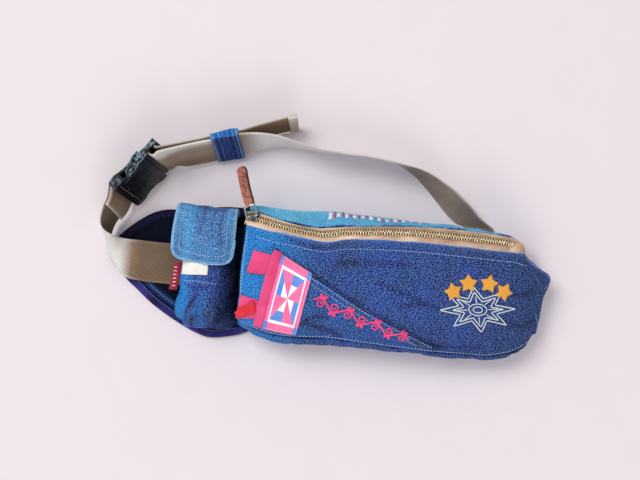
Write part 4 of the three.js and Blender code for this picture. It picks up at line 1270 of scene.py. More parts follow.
def make_puller(cloth):
    """Two leathers sewn round the bail's far bar, curling up a little to their rounded tip."""
    joint = next(j for j in frame["joints"] if j["name"] == "puller_swing")
    bar = np.array(joint["pos_m"]) / MM
    across = unit(np.cross(PULLER_DIRECTION, (0, 0, 1)))
    out = np.cross(across, PULLER_DIRECTION)
    wide = across * math.cos(PULLER_ROLL) - out * math.sin(PULLER_ROLL)
    face = out * math.cos(PULLER_ROLL) + across * math.sin(PULLER_ROLL)
    rows, columns = 44, 11
    s = np.linspace(0, LEATHER_LENGTH, rows)
    half = LEATHER_WIDTH / 2 * np.ones(rows)
    past = s - LEATHER_LENGTH + LEATHER_WIDTH / 2
    tip = s > LEATHER_LENGTH - LEATHER_WIDTH / 2
    half[tip] = np.sqrt(np.maximum((LEATHER_WIDTH / 2) ** 2 - past[tip] ** 2, 0.3))
    half *= 0.86 + 0.14 * smoothstep(0, 7, s)
    v = np.linspace(-1, 1, columns)
    curl = -1.6 * np.sin(s / LEATHER_LENGTH * math.pi) + 0.9 * (s / LEATHER_LENGTH) ** 2
    for name, side, material in (("leather_puller_face", 1, cloth["leather"]),
                                 ("leather_puller_back", -1, cloth["leather_dark"])):
        grid = (bar + PULLER_DIRECTION * (LEATHER_START + s)[:, None, None]
                + wide * (half[:, None] * v[None] + (0.0 if side > 0 else 2.2))[..., None]
                + face * (curl[:, None] + side * (0.95 - 0.35 * v[None] ** 4))[..., None])
        grid = rumple(grid, 0.08, 5, seed=3.0 + side)
        if side > 0:
            grid = grid[:, ::-1]
        if (grid_normals(grid)[20, 5] * face * side).sum() < 0:
            grid = grid[:, ::-1]
        obj = panel(name, grid, material, 0.85, ["col0", "col1", "row1"])
        finish_piece(obj, "puller", "leather", *(["leather_puller"] if side > 0 else []))
    pieces = Pieces()
    for edge in (-1, 1):
        line = (bar + PULLER_DIRECTION * (LEATHER_START + s[2:-4])[:, None]
                + wide * (half[2:-4] - 1.3)[:, None] * edge + face * (curl[2:-4] + 0.95)[:, None])
        add_stitches(pieces, line, np.broadcast_to(face, line.shape), 1.5, 0.7, 0.22)
    finish_piece(pieces.make("leather_stitches", cloth["dark_thread"]), "puller", "leather")
    ticks = Pieces()
    for k in range(9):
        at = LEATHER_START + 10 + k * 2.3
        reach = 2.4 if k % 3 else 3.52
        height = np.interp(at - LEATHER_START, s, curl) + 0.9
        add_box(ticks, bar + PULLER_DIRECTION * at + face * height, (wide, PULLER_DIRECTION, face),
                (reach, 0.7, 0.35), 0.1)
    finish_piece(ticks.make("leather_embossed_ticks", cloth["leather_dark"]), "puller", "leather")


def make_zip(cloth):
    make_tape("tape_lower_cloth", -1, LEFT + 1, LID_RIGHT, "tape_lower", "pack", cloth["zip_tape"])
    upper_left = box_mm("tape_upper")[0][0]
    make_tape("tape_upper_cloth", 1, upper_left, LID_RIGHT - 0.4, "tape_upper", "lid",
              cloth["zip_tape"], -0.3)
    x0, x1 = (corner[0] for corner in box_mm("teeth_lower"))
    make_teeth("teeth_lower_brass", -1, x0, x1, "teeth_lower", "pack", cloth["brass"])
    make_teeth("teeth_upper_brass", 1, x0, x1 - 2, "teeth_upper", "lid", cloth["brass"])
    make_tape_end(cloth)
    refined("zip_stop_brass", ["zip_stop"], "pack", "zip_brass", cloth["brass"], 0.4)
    refined("slider_cast", ["slider_body", "slider_base"], "slider", "antique_metal", cloth["antique"], 0.45)
    refined("bail_cast", ["puller_bail"], "puller", "antique_metal", cloth["steel"], 0.5)


# ---------------------------------------------------------------- wing
WING_EDGE = [(-141, -56), (-154.5, -61.5), (-178, -66), (-194, -62.5), (-210, -55.5), (-226, -47),
             (-242, -37), (-257, -25), (-269, -15), (-280, 4), (-282, 20), (-275, 30), (-263, 41), (-249, 51),
             (-236, 56), (-224, 57.5), (-200, 61), (-176, 65), (-154.5, 66)]


def inward(edge):
    along = unit(np.gradient(edge, axis=0))
    return np.stack([along[:, 1], -along[:, 0]], 1)


def make_wing(cloth):
    """The padded wing beside the body, two cloth faces over foam."""
    high = box_mm("left_wing")[1][2]
    edge = catmull(WING_EDGE, 150)
    spine = np.column_stack([np.clip(edge[:, 0] * 0.35 - 205 * 0.65, -230, -155.5), edge[:, 1] * 0.08 - 4])
    spine[:, 0] = np.where(edge[:, 0] > -200, edge[:, 0] * 0.9 - 16, spine[:, 0])
    spine[:, 0] = np.minimum(spine[:, 0], -155)
    steps = np.linspace(0, 1, 30)
    flat = edge[:, None] * (1 - steps)[None, :, None] + spine[:, None] * steps[None, :, None]
    inset = inward(edge)[:, None] * (4.5 * (1 - steps))[None, :, None]
    flat = flat + inset
    rise = high - 1.2 + 0.9 * np.sin(np.minimum(steps * 1.6, 1) * math.pi / 2)
    grid = np.dstack([flat, np.broadcast_to(rise, flat.shape[:2])])
    pins = np.zeros(grid.shape[:2])
    pins[:, 0] = 1
    pins[[0, -1]] = 1
    pins[:, -1] = 0.9
    pins = np.maximum(pins, ((grid[..., 0] > -216) & (grid[..., 1] > -59)) * 0.85)
    if (grid_normals(grid)[75, 10])[2] < 0:
        grid = grid[::-1]
        pins = pins[::-1]
    grid = simulated(grid, pins, 1.6, 0.03)
    grid = turned(grid, ["col0"], 0.8, 3)
    fade_and_painted_light = 0.55 * np.exp(-(edge_distance(grid, ["col0"]) - 9) ** 2 / 7) * (grid[..., 1] < 0)
    top = panel("wing_top_cloth", grid, cloth["denim_dark"], 1.4, fade_and_painted_light=fade_and_painted_light)
    under = grid.copy()
    under[..., 2] = 0.0
    under = under[::-1]
    under[..., 2] += 1.0 * (1 - smoothstep(0, 3, edge_distance(under, ["col0"])))
    finish_piece(top, "pack", "denim_dark", "left_wing")
    bottom = panel("wing_under_cloth", under, cloth["denim_dark"], 1.2)
    finish_piece(bottom, "pack", "denim_dark")
    return top, edge


def make_binding(cloth, edge):
    """The binding folded round the wing's edge: a section, in distance inwards and height, swept round it."""
    high = box_mm("left_wing")[1][2]
    section = [(8.2, high - 1.2), (8.4, high - 0.2), (6.6, high + 0.35), (3.4, high + 0.45),
               (1.2, high - 0.4), (0.1, high * 0.62), (0.1, high * 0.38), (1.0, 0.5), (3.0, 0.02),
               (8.0, 0.02), (8.0, 1.0), (3.5, 1.3), (2.0, high * 0.5), (3.6, high - 1.5)]
    depth, height = np.array(section).T
    ripple = np.array([noise.noise(Vector((p[0] / 7, p[1] / 7, 2.0))) for p in edge])
    verts = np.zeros((len(edge), len(section), 3))
    verts[..., :2] = edge[:, None] + inward(edge)[:, None] * depth[:, None]
    verts[..., 2] = height + ripple[:, None] * 0.3 * (height > high - 1)
    rows, columns = verts.shape[:2]
    faces = grid_faces(rows, columns, wrap=True)
    faces += [tuple(reversed(range(columns))), tuple(range((rows - 1) * columns, rows * columns))]
    steps = steps_along(edge)
    round_ = np.linspace(0, 22, columns)
    uv = np.stack(np.broadcast_arrays(steps[:, None], round_[None]), 2).reshape(-1, 2) * MM
    wear = np.tile([0, 0, 0.1, 0.3, 0.7, 0.9, 0.9, 0.7, 0, 0, 0, 0, 0, 0], rows)
    # Painted shade: the binding turns dark navy towards the wing's upper side, which lies in the bag's shade;
    # its lower side keeps a paler purple in patches, and only there does its fold show wear.
    patchy = np.array([0.6 + 0.9 * noise.noise(Vector((p[0] / 16, p[1] / 16, 6.0))) for p in edge])
    fade_and_painted_light = np.repeat((1 - smoothstep(-12, 22, edge[:, 1])) * patchy, columns)
    binding = new_object("wing_binding_tape", verts.reshape(-1, 3), faces, cloth["binding"], uv,
                         attributes={"wear": wear * fade_and_painted_light, "fade_and_painted_light": fade_and_painted_light})
    fix_normals(binding)
    return finish_piece(binding, "pack", "binding", "wing_binding")


# ---------------------------------------------------------------- side pocket
# Painted shade along the pocket's creases: [x, y] path and width.
POCKET_CREASE_SHADE = (
    ([(-203, -52), (-201, -40), (-196, -30), (-192, -22)], 2.4),
    ([(-198, -60), (-197, -50), (-193, -44)], 2.0),
    ([(-184, -58), (-182, -46), (-184, -34)], 1.8),
    ([(-176, -58), (-172, -48), (-166, -42)], 2.2),
    ([(-206, -12), (-196, -16), (-186, -15)], 1.2),
)


def make_pocket(cloth):
    """A gathered pocket on the wing, rounded over its front and drawn in at its foot."""
    low, high = box_mm("side_pocket")
    rows, columns = 56, 60
    y = np.linspace(low[1] - 1.5, high[1], rows)
    s = np.linspace(0, 1, columns)
    grid = np.zeros((rows, columns, 3))
    for i, at in enumerate(y):
        foot = float(smoothstep(0, 20, at - y[0]))
        left = low[0] + 0.5 + 6.5 * (1 - float(smoothstep(0, 13, at - y[0])))
        right = high[0] + 3.2 - 1.5 * (1 - foot)
        top = low[2] + 1.2 + (high[2] - low[2] - 0.5) * foot ** 0.62
        angle = math.pi * s
        bluff = np.where(s < 0.5, 0.5, 0.5 + 0.45 * smoothstep(0.5, 0.7, s))
        x = (left + right) / 2 - (right - left) / 2 * squared(np.cos(angle), bluff)
        z = low[2] - 0.3 + (top - low[2]) * squared(np.sin(angle), bluff)
        grid[i] = np.column_stack([x, np.full(columns, at), z])
    grid = grid.transpose(1, 0, 2)
    for path, width, height in (([(-206, -54), (-203, -34), (-194, -18)], 3.4, -4.2),
                                ([(-196, -58), (-192, -38), (-190, -20)], 3.6, 3.0),
                                ([(-182, -58), (-181, -40), (-186, -22)], 3.4, -3.6),
                                ([(-172, -52), (-176, -34), (-182, -20)], 3.0, 2.0),
                                ([(-206, -9), (-190, -11), (-172, -9)], 2.6, 1.4)):
        grid = fold(grid, path, width, height)
    grid = rumple(grid, 0.9, 11, (1, 0.6, 0.6), 1.9)
    grid = rumple(grid, 0.3, 4.5, (1, 0.6, 0.6), 4.4)
    pins = np.zeros(grid.shape[:2])
    pins[[0, -1]] = 1
    pins[:, 0] = 1
    pins[:, -1] = 1
    grid = simulated(grid, pins, 2.6, 0.045)
    x = grid[..., 0]
    # Lighter at its left side and in a stripe down its lower middle; painted shade over its right side, which
    # is turned from the light and shaded by the body, and along its creases.
    fade_and_painted_light = 0.95 * (1 - smoothstep(-207, -194, x))
    fade_and_painted_light += 0.35 * np.exp(-((x + 188) / 6) ** 2) * (grid[..., 1] < -18)
    fade_and_painted_light += 0.15 * (1 - smoothstep(-190, -176, x)) - 0.75 * smoothstep(-182, -160, x)
    for path, width in POCKET_CREASE_SHADE:
        fade_and_painted_light -= 0.8 * along_path(grid, path, width)
    obj = panel("side_pocket_cloth", grid, cloth["denim"], 1.5, ["col0"], fade_and_painted_light, 1)
    finish_piece(obj, "pack", "denim", "side_pocket")
    return obj


def make_flap(cloth):
    """The pocket's flap: sewn along the wing's top edge, over the mouth and down the front."""
    low, high = box_mm("pocket_flap")
    profile = catmull([(57.3, 8.2), (57.9, 14), (60.0, 21), (63.4, 30), (60.8, 39.5), (46, 45.6), (24, 47),
                       (7.6, 45.4)], 60)
    corner = 13.0
    columns = 52
    v = np.linspace(0, 1, columns)
    grid = np.zeros((60, columns, 3))
    for i, (y, z) in enumerate(profile):
        to_end = max(0.0, y - profile[-1][0])
        cut = corner - math.sqrt(corner ** 2 - (corner - to_end) ** 2) if z > 30 and to_end < corner else 0.0
        flare = 1.5 * math.sin(min(1.0, (60 - y) / 52) * math.pi)
        left, right = low[0] - flare + cut + 1.0, high[0] + flare * 0.4 - cut + 0.5
        x = left + (right - left) * v
        bow = 2.2 * (1 - (2 * v - 1) ** 2) + 0.8 * np.sin(v * 9 + y * 0.1)
        rise = bow - 1.0 if z > 30 else bow * 0.4
        grid[i] = np.column_stack([x, y + 0.5 * np.sin(v * 7), z + rise])
    if grid_normals(grid)[40, 25][2] < 0:
        grid = grid[:, ::-1]
    for path, width, height in (([(-203, 62), (-200, 45), (-204, 28)], 3.4, 1.5),
                                ([(-182, 64), (-186, 48), (-183, 34)], 3.0, 1.4),
                                ([(-212, 36), (-196, 33), (-178, 37)], 3.2, 1.0)):
        grid = fold(grid, path, width, height)
    grid = rumple(grid, 0.8, 13, (1, 1, 0.5), 7.7)
    pins = np.zeros(grid.shape[:2])
    pins[0] = 1
    pins[-1] = 0.7
    pins[:, [0, -1]] = 0.7
    grid = simulated(grid, pins, 1.8, 0.03, 2.0)
    grid = turned(grid, ["row1", "col0", "col1"], 0.9, 1.6)
    # Lighter towards its edges and down its left side; painted shade along its creases.
    fade_and_painted_light = 0.12 + 0.75 * np.exp(-edge_distance(grid, ["row1", "col0", "col1"]) / 7)
    fade_and_painted_light += 0.45 * np.exp(-((grid[..., 0] + 206) / 7) ** 2)
    for path in ([(-193, 66), (-192, 50), (-195, 36)], [(-212, 42), (-213, 28), (-208, 20)],
                 [(-174, 60), (-176, 44), (-173, 30)], [(-198, 62), (-180, 60), (-170, 64)]):
        fade_and_painted_light -= 0.55 * along_path(grid, path, 2.0)
    obj = panel("pocket_flap_cloth", grid, cloth["flap"], 1.9, ["row1", "col0", "col1"], fade_and_painted_light, 1)
    finish_piece(obj, "flap", "denim_light", "pocket_flap")
    outline = np.vstack([grid[8:, 0], grid[-1, 1:-1], grid[8:, -1][::-1]])
    return obj, outline


def flap_stitches(cloth, flap, outline):
    """Two rows of topstitching round the flap, with the ladder of faded ridges between them."""
    ground = Ground(flap)
    line = resample(outline[:, :2], 180)
    for _ in range(8):
        line[1:-1] = (line[:-2] + line[1:-1] * 2 + line[2:]) / 4
    along = unit(np.gradient(line, axis=0))
    normal = np.stack([-along[:, 1], along[:, 0]], 1)
    middle = line.mean(0)
    if ((middle - line) * normal).sum() < 0:
        normal = -normal
    pieces, ladder = Pieces(), Pieces()
    for inset in (2.2, 8.2):
        add_stitches(pieces, *ground.drop(line + normal * inset, 0.1), 2.3, 0.8, 0.33)
    for k in range(6, len(line) - 6, 3):
        across = line[k] + normal[k] * np.linspace(2.9, 6.9, 5)[:, None]
        points, up = ground.drop(across, 0.05)
        ladder.add(*sweep(points, up, circle(0.5, 6, 0.7)))
    finish_piece(pieces.make("flap_topstitch", cloth["pale_thread"]), "flap", "denim_light")
    finish_piece(ladder.make("flap_seam_ridges", cloth["ridge"]), "flap", "denim_light")
    edge_points, edge_up = ground.drop(line + normal * 0.5, -0.1)
    roll = Pieces()
    roll.add(*sweep(edge_points, edge_up, circle(0.8, 8, 0.9)))
    finish_piece(roll.make("flap_worn_edge", cloth["worn_edge"]), "flap", "denim_light")


def make_pocket_trim(cloth, pocket):
    ground = Ground(pocket)
    low, high = box_mm("pocket_loop_strip")
    strip = draped("loop_strip_cloth", ground, [(low[0] + 3, low[1] - 0.5), (high[0] + 0.5, low[1] + 1),
                                                (high[0] + 0.5, high[1]), (low[0] + 3, high[1])],
                   cloth["cream"], 1.4, 1.1, 20, 20, 0.15, 3.0)
    finish_piece(strip, "pack", "cream_strip", "pocket_loop_strip")
    low, high = box_mm("flap_hook_strip")
    x, y = flat_places(low[0], high[0], low[1], high[1], 12, 14)
    grid = np.stack([x, y, np.full(x.shape, high[2] + 0.2)], -1)
    hooks = panel("hook_strip_cloth", grid, cloth["cream"], 0.7)
    finish_piece(hooks, "flap", "cream_strip", "flap_hook_strip")

    low, high = box_mm("side_tab")
    s = np.linspace(0, 1, 22)[:, None]
    v = np.linspace(0, 1, 12)[None]
    y = low[1] + (high[1] - low[1]) * s + 0 * v
    lean = 2.4 * (s - 0.5)
    x = high[0] + 1.8 + lean - (high[0] - low[0] + 0.6) * (1 - v) - 0.6 * (1 - s) * (1 - v)
    z = low[2] + 2.5 + 2.2 * np.sin(v * math.pi * 0.9) + 0.5 * np.sin(s * 8)
    grid = np.stack([x, y, z], -1).transpose(1, 0, 2)
    if grid_normals(grid)[5, 5][2] < 0:
        grid = grid[::-1]
    tab = panel("side_tab_cloth", grid, cloth["red_tab"], 1.4)
    finish_piece(tab, "pack", "red_tab", "side_tab")
    marks = Pieces()
    tab_ground = Ground(tab)
    for k in range(6):
        at = low[1] + 4 + k * 3.6
        tick = [(low[0] + 2.6, at), (low[0] + 4.0, at + 0.3), (low[0] + 5.6, at + 0.2)]
        points, up = tab_ground.drop(tick, 0.05)
        marks.add(*sweep(points, up, circle(0.38, 6, 0.5)))
    finish_piece(marks.make("side_tab_marks", cloth["white_ink"]), "pack", "red_tab")


# ---------------------------------------------------------------- belt
WEB_HALF = 20.0
BUCKLE_LEAN = math.radians(26)
BUCKLE_ALONG = np.array([0.6, 0.8, 0.0])
BUCKLE_START = np.array([-275.3, 65.4, 25.0])
BUCKLE_WIDE = np.array([-0.8 * math.sin(BUCKLE_LEAN), 0.6 * math.sin(BUCKLE_LEAN), math.cos(BUCKLE_LEAN)])
BUCKLE_OUT = np.cross(BUCKLE_ALONG, BUCKLE_WIDE)
BUCKLE_HALF_THICK = 6.0
RIB_START, RIB_PITCH = 24, 2.6


def in_buckle(s, n, half=WEB_HALF):
    """The two edges of the webbing at a place in the buckle: s along it, n out of its face."""
    middle = BUCKLE_START + BUCKLE_ALONG * s + BUCKLE_OUT * n
    return (tuple(middle - BUCKLE_WIDE * half), tuple(middle + BUCKLE_WIDE * half))


STRAP_LEFT = [
    ((-206, -17, 9), (-210, 23, 9)),
    ((-216, -17, 9), (-220, 23, 9)),
    ((-233.4, -17.2, 9.2), (-237.4, 23, 9.2)),
    ((-250, -17, 10), (-254, 23.2, 11)),
    ((-268, -14, 11), (-271, 23.5, 19)),
    ((-281, -2, 8), (-280.5, 26.5, 35)),
    ((-289, 11, 6), (-287.5, 30.6, 41)),
    ((-287, 24.5, 6), (-291, 38, 43)),
    ((-282.5, 39, 6.5), (-289.5, 52.6, 43)),
    ((-275.5, 50, 7), (-286.5, 62.6, 43)),
    in_buckle(-2.6, -3.5),
    in_buckle(1.5, -7.4),
    in_buckle(5.6, -6.2),
    in_buckle(7.0, -1.0),
    in_buckle(6.4, 5.0),
]
STRAP_STRAIGHT = [
    ((-216, 101.5, 6.5), (-222, 118.5, 41)),
    ((-189, 110, 6), (-195, 127, 41.5)),
    ((-163, 118.2, 6), (-167, 135.8, 41.5)),
]
STRAP_RIGHT = [
    ((-176, 114.1, 6), (-181, 131.4, 41.5)),
    STRAP_STRAIGHT[2],
    ((-147, 125, 4), (-147, 138.5, 41)),
    ((-129, 130, 1.6), (-128.5, 137.5, 40.5)),
    ((-109, 130.5, 1), (-108.5, 132.5, 41)),
    ((-84, 130, 1), (-84, 128, 41)),
    ((-59, 130.5, 1), (-60, 126.5, 41)),
    ((-34, 129.3, 1), (-35.5, 126.3, 41)),
    ((-8.5, 124, 1), (-11, 123.3, 40.5)),
    ((8, 115, 1), (5, 121, 39.5)),
    ((24.7, 99.5, 1), (21, 116, 36)),
    ((41, 82.5, 1), (41, 106, 31)),
    ((50, 75, 1), (61, 92, 24)),
    ((55, 72, 1.1), (76, 79.5, 13)),
    ((60, 71, 1.4), (90, 71.5, 3.4)),
    ((62, 68, 1.4), (92, 68.5, 2.0)),
]
STRAP_TAIL = [
    ((-150, 132.5, 3), (-151.5, 145.5, 40)),
    ((-136, 141.5, 2), (-138, 150.5, 39.5)),
    ((-112, 149.5, 2), (-114.5, 159.5, 39)),
]


def layer(stations, distance):
    """The same stations moved off the webbing's face, to lay one layer on another."""
    low, high = (np.array([s[k] for s in stations], float) for k in (0, 1))
    along = np.gradient(low + high, axis=0)
    through = unit(np.cross(along, high - low)) * distance
    return [(tuple(a), tuple(b)) for a, b in zip(low + through, high + through)]


def band_grid(stations, rows, ripple=0.25, seed=0.0):
    """Middle surface of the webbing: rows along it, columns across it, slightly cupped and rippled."""
    low = catmull([s[0] for s in stations], rows)
    high = catmull([s[1] for s in stations], rows)
    v = np.linspace(0, 1, 13)
    grid = low[:, None] * (1 - v)[None, :, None] + high[:, None] * v[None, :, None]
    return rumple(grid, ripple, 16, seed=seed) if ripple else grid


def webbing(name, grid, material, thickness=1.6, fade_and_painted_light=None, back=-0.35):
    """Webbing with its full thickness and softly rounded selvedges. Its per-point array paints light on its
    face and back paints it on its back: lighter above nothing, painted shade below.
    """
    normals = grid_normals(grid)
    rows, columns = grid.shape[:2]
    edge = np.minimum(np.arange(columns), columns - 1 - np.arange(columns))
    half = thickness / 2 * np.where(edge == 0, 0.45, 1.0)[None, :, None]
    verts = np.concatenate([grid + normals * half, (grid - normals * half)[:, ::-1]], 1)
    uv = grid_uv(grid) / MM
    width = uv[:, -1:, 1].mean()
    across = np.linspace(0, width, columns)
    v = np.concatenate([across, across[::-1] + 45])
    u = np.concatenate([uv[..., 0], uv[:, ::-1, 0]], 1)
    uv = np.stack([u, np.broadcast_to(v, u.shape)], 2).reshape(-1, 2) * MM
    wear = np.exp(-np.concatenate([edge, edge[::-1]]) * 1.2)
    wear = np.broadcast_to(wear, (rows, 2 * columns)).ravel()
    faces = grid_faces(rows, 2 * columns, wrap=True)
    faces += [tuple(range(2 * columns)), tuple(reversed(range((rows - 1) * 2 * columns, rows * 2 * columns)))]
    face = np.zeros((rows, columns)) if fade_and_painted_light is None else fade_and_painted_light
    both = np.concatenate([face, np.full((rows, columns), back)], 1)
    # Painted highlight along the selvedges, on both faces.
    both[:, [0, columns - 1, columns, -1]] += 0.5
    attributes = {"wear": wear, "fade_and_painted_light": both.ravel()}
    obj = new_object(name, verts.reshape(-1, 3), faces, material, uv, attributes=attributes)
    fix_normals(obj)
    return obj


def cross_stitches(name, grid, rows, material, side=1.0, lift=0.95):
    """Stitch lines across a band: rows lists pairs of grid places, (row, column) to (row, column)."""
    normals = grid_normals(grid) * side
    pieces = Pieces()
    for (i0, j0), (i1, j1) in rows:
        steps = np.linspace(0, 1, 24)
        i = i0 + (i1 - i0) * steps
        j = j0 + (j1 - j0) * steps
        a, b = np.floor(i).astype(int), np.floor(j).astype(int)
        a, b = np.minimum(a, grid.shape[0] - 2), np.minimum(b, grid.shape[1] - 2)
        fa, fb = (i - a)[:, None], (j - b)[:, None]
        line = (grid[a, b] * (1 - fa) * (1 - fb) + grid[a + 1, b] * fa * (1 - fb)
                + grid[a, b + 1] * (1 - fa) * fb + grid[a + 1, b + 1] * fa * fb)
        add_stitches(pieces, line + normals[a, b] * lift, normals[a, b], 2.4, 0.8, 0.3)
    return pieces.make(name, material)


def box_stitch(row0, row1, col0=1, col1=11):
    return [((row0, col0), (row0, col1)), ((row1, col0), (row1, col1)), ((row0, col0), (row1, col0)),
            ((row0, col1), (row1, col1)), ((row0, col0), (row1, col1)), ((row0, col1), (row1, col0))]


def free_piece(obj, slot, *nodes):
    """A piece that rides on no body: its CAD nodes are hidden and its slot is not used."""
    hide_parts(*nodes)


def make_belt(cloth):
    web, sewing = cloth["webbing"], cloth["web_thread"]
    left = band_grid(STRAP_LEFT, 120, 0.25, 2.0)
    if grid_normals(left)[5, 6][2] < 0:
        left = left[:, ::-1]
    x, y = left[..., 0], left[..., 1]
    # Painted light on the left strap: a highlight at its left bend, painted shade along its straight part and
    # where it enters the buckle.
    lit = 1.5 * smoothstep(-260, -284, x) * smoothstep(48, 26, y) - 0.55 * smoothstep(-276, -250, x)
    lit += 0.25 * np.exp(-((x + 262) / 9) ** 2) - 1.4 * smoothstep(58, 63, y)
    obj = webbing("strap_left_web", left, web, 1.6, lit)
    free_piece(obj, "webbing", "strap_sewn_left", "strap_left")
    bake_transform(obj)
    folded = layer([((-280.5, 42.5, 6.6), (-289.2, 55.6, 43)), *STRAP_LEFT[9:12]], 2.6)
    fold_grid = band_grid(folded, 40, 0.15, 5.0)
    # Painted highlight along the folded end, a little painted shade elsewhere, its back painted lighter.
    lit = 0.9 * np.exp(-edge_distance(fold_grid, ["row0"]) / 2.0) - 0.1
    finish_piece(webbing("strap_fold_web", fold_grid, web, 2.8, lit, 0.35), "belt", "webbing", "strap_fold")
    inner = cross_stitches("strap_fold_stitches", fold_grid, box_stitch(3, 17), sewing)
    outer = cross_stitches("strap_fold_stitches_outer", left, box_stitch(88, 98), sewing, -1.0)
    for stitches in (inner, outer):
        finish_piece(stitches, "belt", "webbing")

    run = (STRAP_TAIL[::-1] + layer(STRAP_STRAIGHT, -3.6)[::-1]
           + [in_buckle(59.2, 6.0), in_buckle(56.0, 2.5), in_buckle(55.2, -1.8), in_buckle(52.5, -3.1),
              in_buckle(49.9, -2.4), in_buckle(48.1, 0.6), in_buckle(48.0, 4.4), in_buckle(50.4, 8.2),
              in_buckle(56.5, 9.6)]
           + STRAP_STRAIGHT[:2] + [((-174, 114.7, 6), (-179, 132, 41.5))])
    run_grid = band_grid(run, 190, 0.12, 1.0)
    # Painted light on the run: lighter towards its upper edge, painted shade low down, its back a little
    # shaded.
    height = (run_grid[..., 2] - 6) / 35
    lit = 0.1 + 0.7 * smoothstep(0.7, 1.0, height) - 0.25 * smoothstep(0.5, 0.1, height)
    obj = webbing("strap_run_web", run_grid, web, 1.6, lit, -0.1)
    free_piece(obj, "webbing", "strap_tail")
    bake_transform(obj)
    tail_end = band_grid(STRAP_TAIL[1:], 40, 0.1, 3.0)[25:]
    # Painted light: the turned end of the tail is made paler all over, front and back.
    lit = np.full(tail_end.shape[:2], 0.5)
    finish_piece(webbing("strap_tail_turn", tail_end, web, 5.6, lit, 0.4), "belt", "webbing")
    rows = [((3, 0.5), (3, 11.5)), ((5, 0.5), (5, 11.5))]
    stitches = cross_stitches("strap_tail_stitches", tail_end, rows, sewing, -1.0)
    finish_piece(stitches, "belt", "webbing")

    right = band_grid(STRAP_RIGHT, 170, 0.3, 7.0)
    x = right[..., 0]
    # Painted light and shade on the right strap: it takes the greyer copy of the webbing painted for shade,
    # lighter over part of its run and on its back.
    lit = smoothstep(-170, -140, x) * smoothstep(5, -20, x)
    obj = webbing("strap_right_web", right, cloth["webbing_painted_shade"], 1.6, lit, 0.8)
    free_piece(obj, "webbing", "strap_right")
    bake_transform(obj)
    low, high = box_mm("strap_anchor")
    x, y = flat_places(low[0] + 4, high[0] - 4, high[1] - 3.5, low[1] + 1, 12, 10)
    grid = np.stack([x, y, np.full(x.shape, high[2] - 0.8)], -1)
    tab = panel("strap_anchor_cloth", grid, cloth["denim_dark"], 1.4)
    finish_piece(tab, "pack", "denim_dark", "strap_anchor")


def make_keeper(cloth):
    """The denim loop that holds the belt's spare end."""
    low, high = (np.array(p, float) for p in STRAP_STRAIGHT[1])
    along = np.array(STRAP_STRAIGHT[2][0]) - np.array(STRAP_STRAIGHT[0][0])
    along[2] = 0
    along = unit(along)
    wide = high - low
    wide = unit(wide - along * (wide * along).sum())
    through = np.cross(along, wide)
    middle = sum(np.array(p) for s in STRAP_STRAIGHT[1:] for p in s) / 4 - through * 1.8
    half_wide, half_thick, length = 21.9, 5.0, 27.0
    angle = np.linspace(0, 2 * math.pi, 64, endpoint=False)
    ring_w = half_wide * squared(np.cos(angle), 0.22)
    ring_t = half_thick * squared(np.sin(angle), 0.35)
    s = np.linspace(-length / 2, length / 2, 30)
    core = middle + along * s[:, None, None]
    grid = core + wide * ring_w[:, None] + through * ring_t[:, None]
    grid = grid + through * (0.5 * np.sin(s / 5)[:, None] * np.sign(ring_t)[None])[..., None]
    flat = [noise.noise(Vector(p / 7)) for p in grid.reshape(-1, 3)]
    outward = unit(grid - core)
    grid = grid + outward * (np.array(flat).reshape(grid.shape[:2]) * 0.7)[..., None]
    faces = grid_faces(30, 64, wrap=True)
    around = steps_along(grid[15])
    uv = np.stack(np.broadcast_arrays(s[:, None], around[None]), 2).reshape(-1, 2) * MM
    edge = np.minimum(s - s[0], s[-1] - s)[:, None] + 0 * around[None]
    # Painted highlight along the keeper's top side and painted shade over the rest, under faded streaks
    # across it.
    streaks = 0.5 * np.sin(s * 1.9 + 2 * np.sin(s / 2))[:, None]
    fade_and_painted_light = 0.9 * smoothstep(0.8, 0.98, np.cos(angle))[None] - 0.35 + streaks
    obj = new_object("keeper_cloth", grid.reshape(-1, 3), faces, cloth["denim"], uv,
                     attributes={"wear": np.exp(-edge / 1.5).ravel(), "fade_and_painted_light": fade_and_painted_light.ravel()})
    fix_normals(obj)
    thicken(obj, 1.4)
    finish_piece(obj, "keeper", "denim", "keeper_loop")
    pieces = Pieces()
    for at in (2, 27):
        ring = grid[at]
        line = np.vstack([ring, ring[:1]])
        up = np.vstack([outward[at], outward[at][:1]])
        add_stitches(pieces, line + up * 0.15, up, 2.3, 0.8, 0.3)
    finish_piece(pieces.make("keeper_stitches", cloth["pale_thread"]), "keeper", "denim")


def make_buckle(cloth):
    mouldings = [("buckle_female", "belt", 0.9, 3), ("buckle_male", "male_half", 0.6, 2),
                 ("prong_upper", "upper_prong", 0.6, 2), ("prong_lower", "lower_prong", 0.6, 2)]
    for node, body_name, width, segments in mouldings:
        refined(node + "_moulding", [node], body_name, "buckle_plastic", cloth["plastic"], width, segments)
    ribs = Pieces()
    for face in (-BUCKLE_HALF_THICK, BUCKLE_HALF_THICK):
        surface = BUCKLE_START + BUCKLE_OUT * face
        for k in range(5):
            add_box(ribs, surface + BUCKLE_ALONG * (RIB_START + k * RIB_PITCH),
                    (BUCKLE_WIDE, BUCKLE_ALONG, BUCKLE_OUT), (17 - k * 1.4, 0.9, 0.9), 0.25)
        for across in (-18.5, 18.5):
            add_box(ribs, surface + BUCKLE_ALONG * RIB_START + BUCKLE_WIDE * across,
                    (BUCKLE_ALONG, BUCKLE_WIDE, BUCKLE_OUT), (26, 1.1, 0.8), 0.25)
    finish_piece(ribs.make("buckle_ribs", cloth["plastic"]), "belt", "buckle_plastic")


# ---------------------------------------------------------------- topstitching
TOPSTITCH = {"length": 2.2, "gap": 0.9, "radius": 0.3}


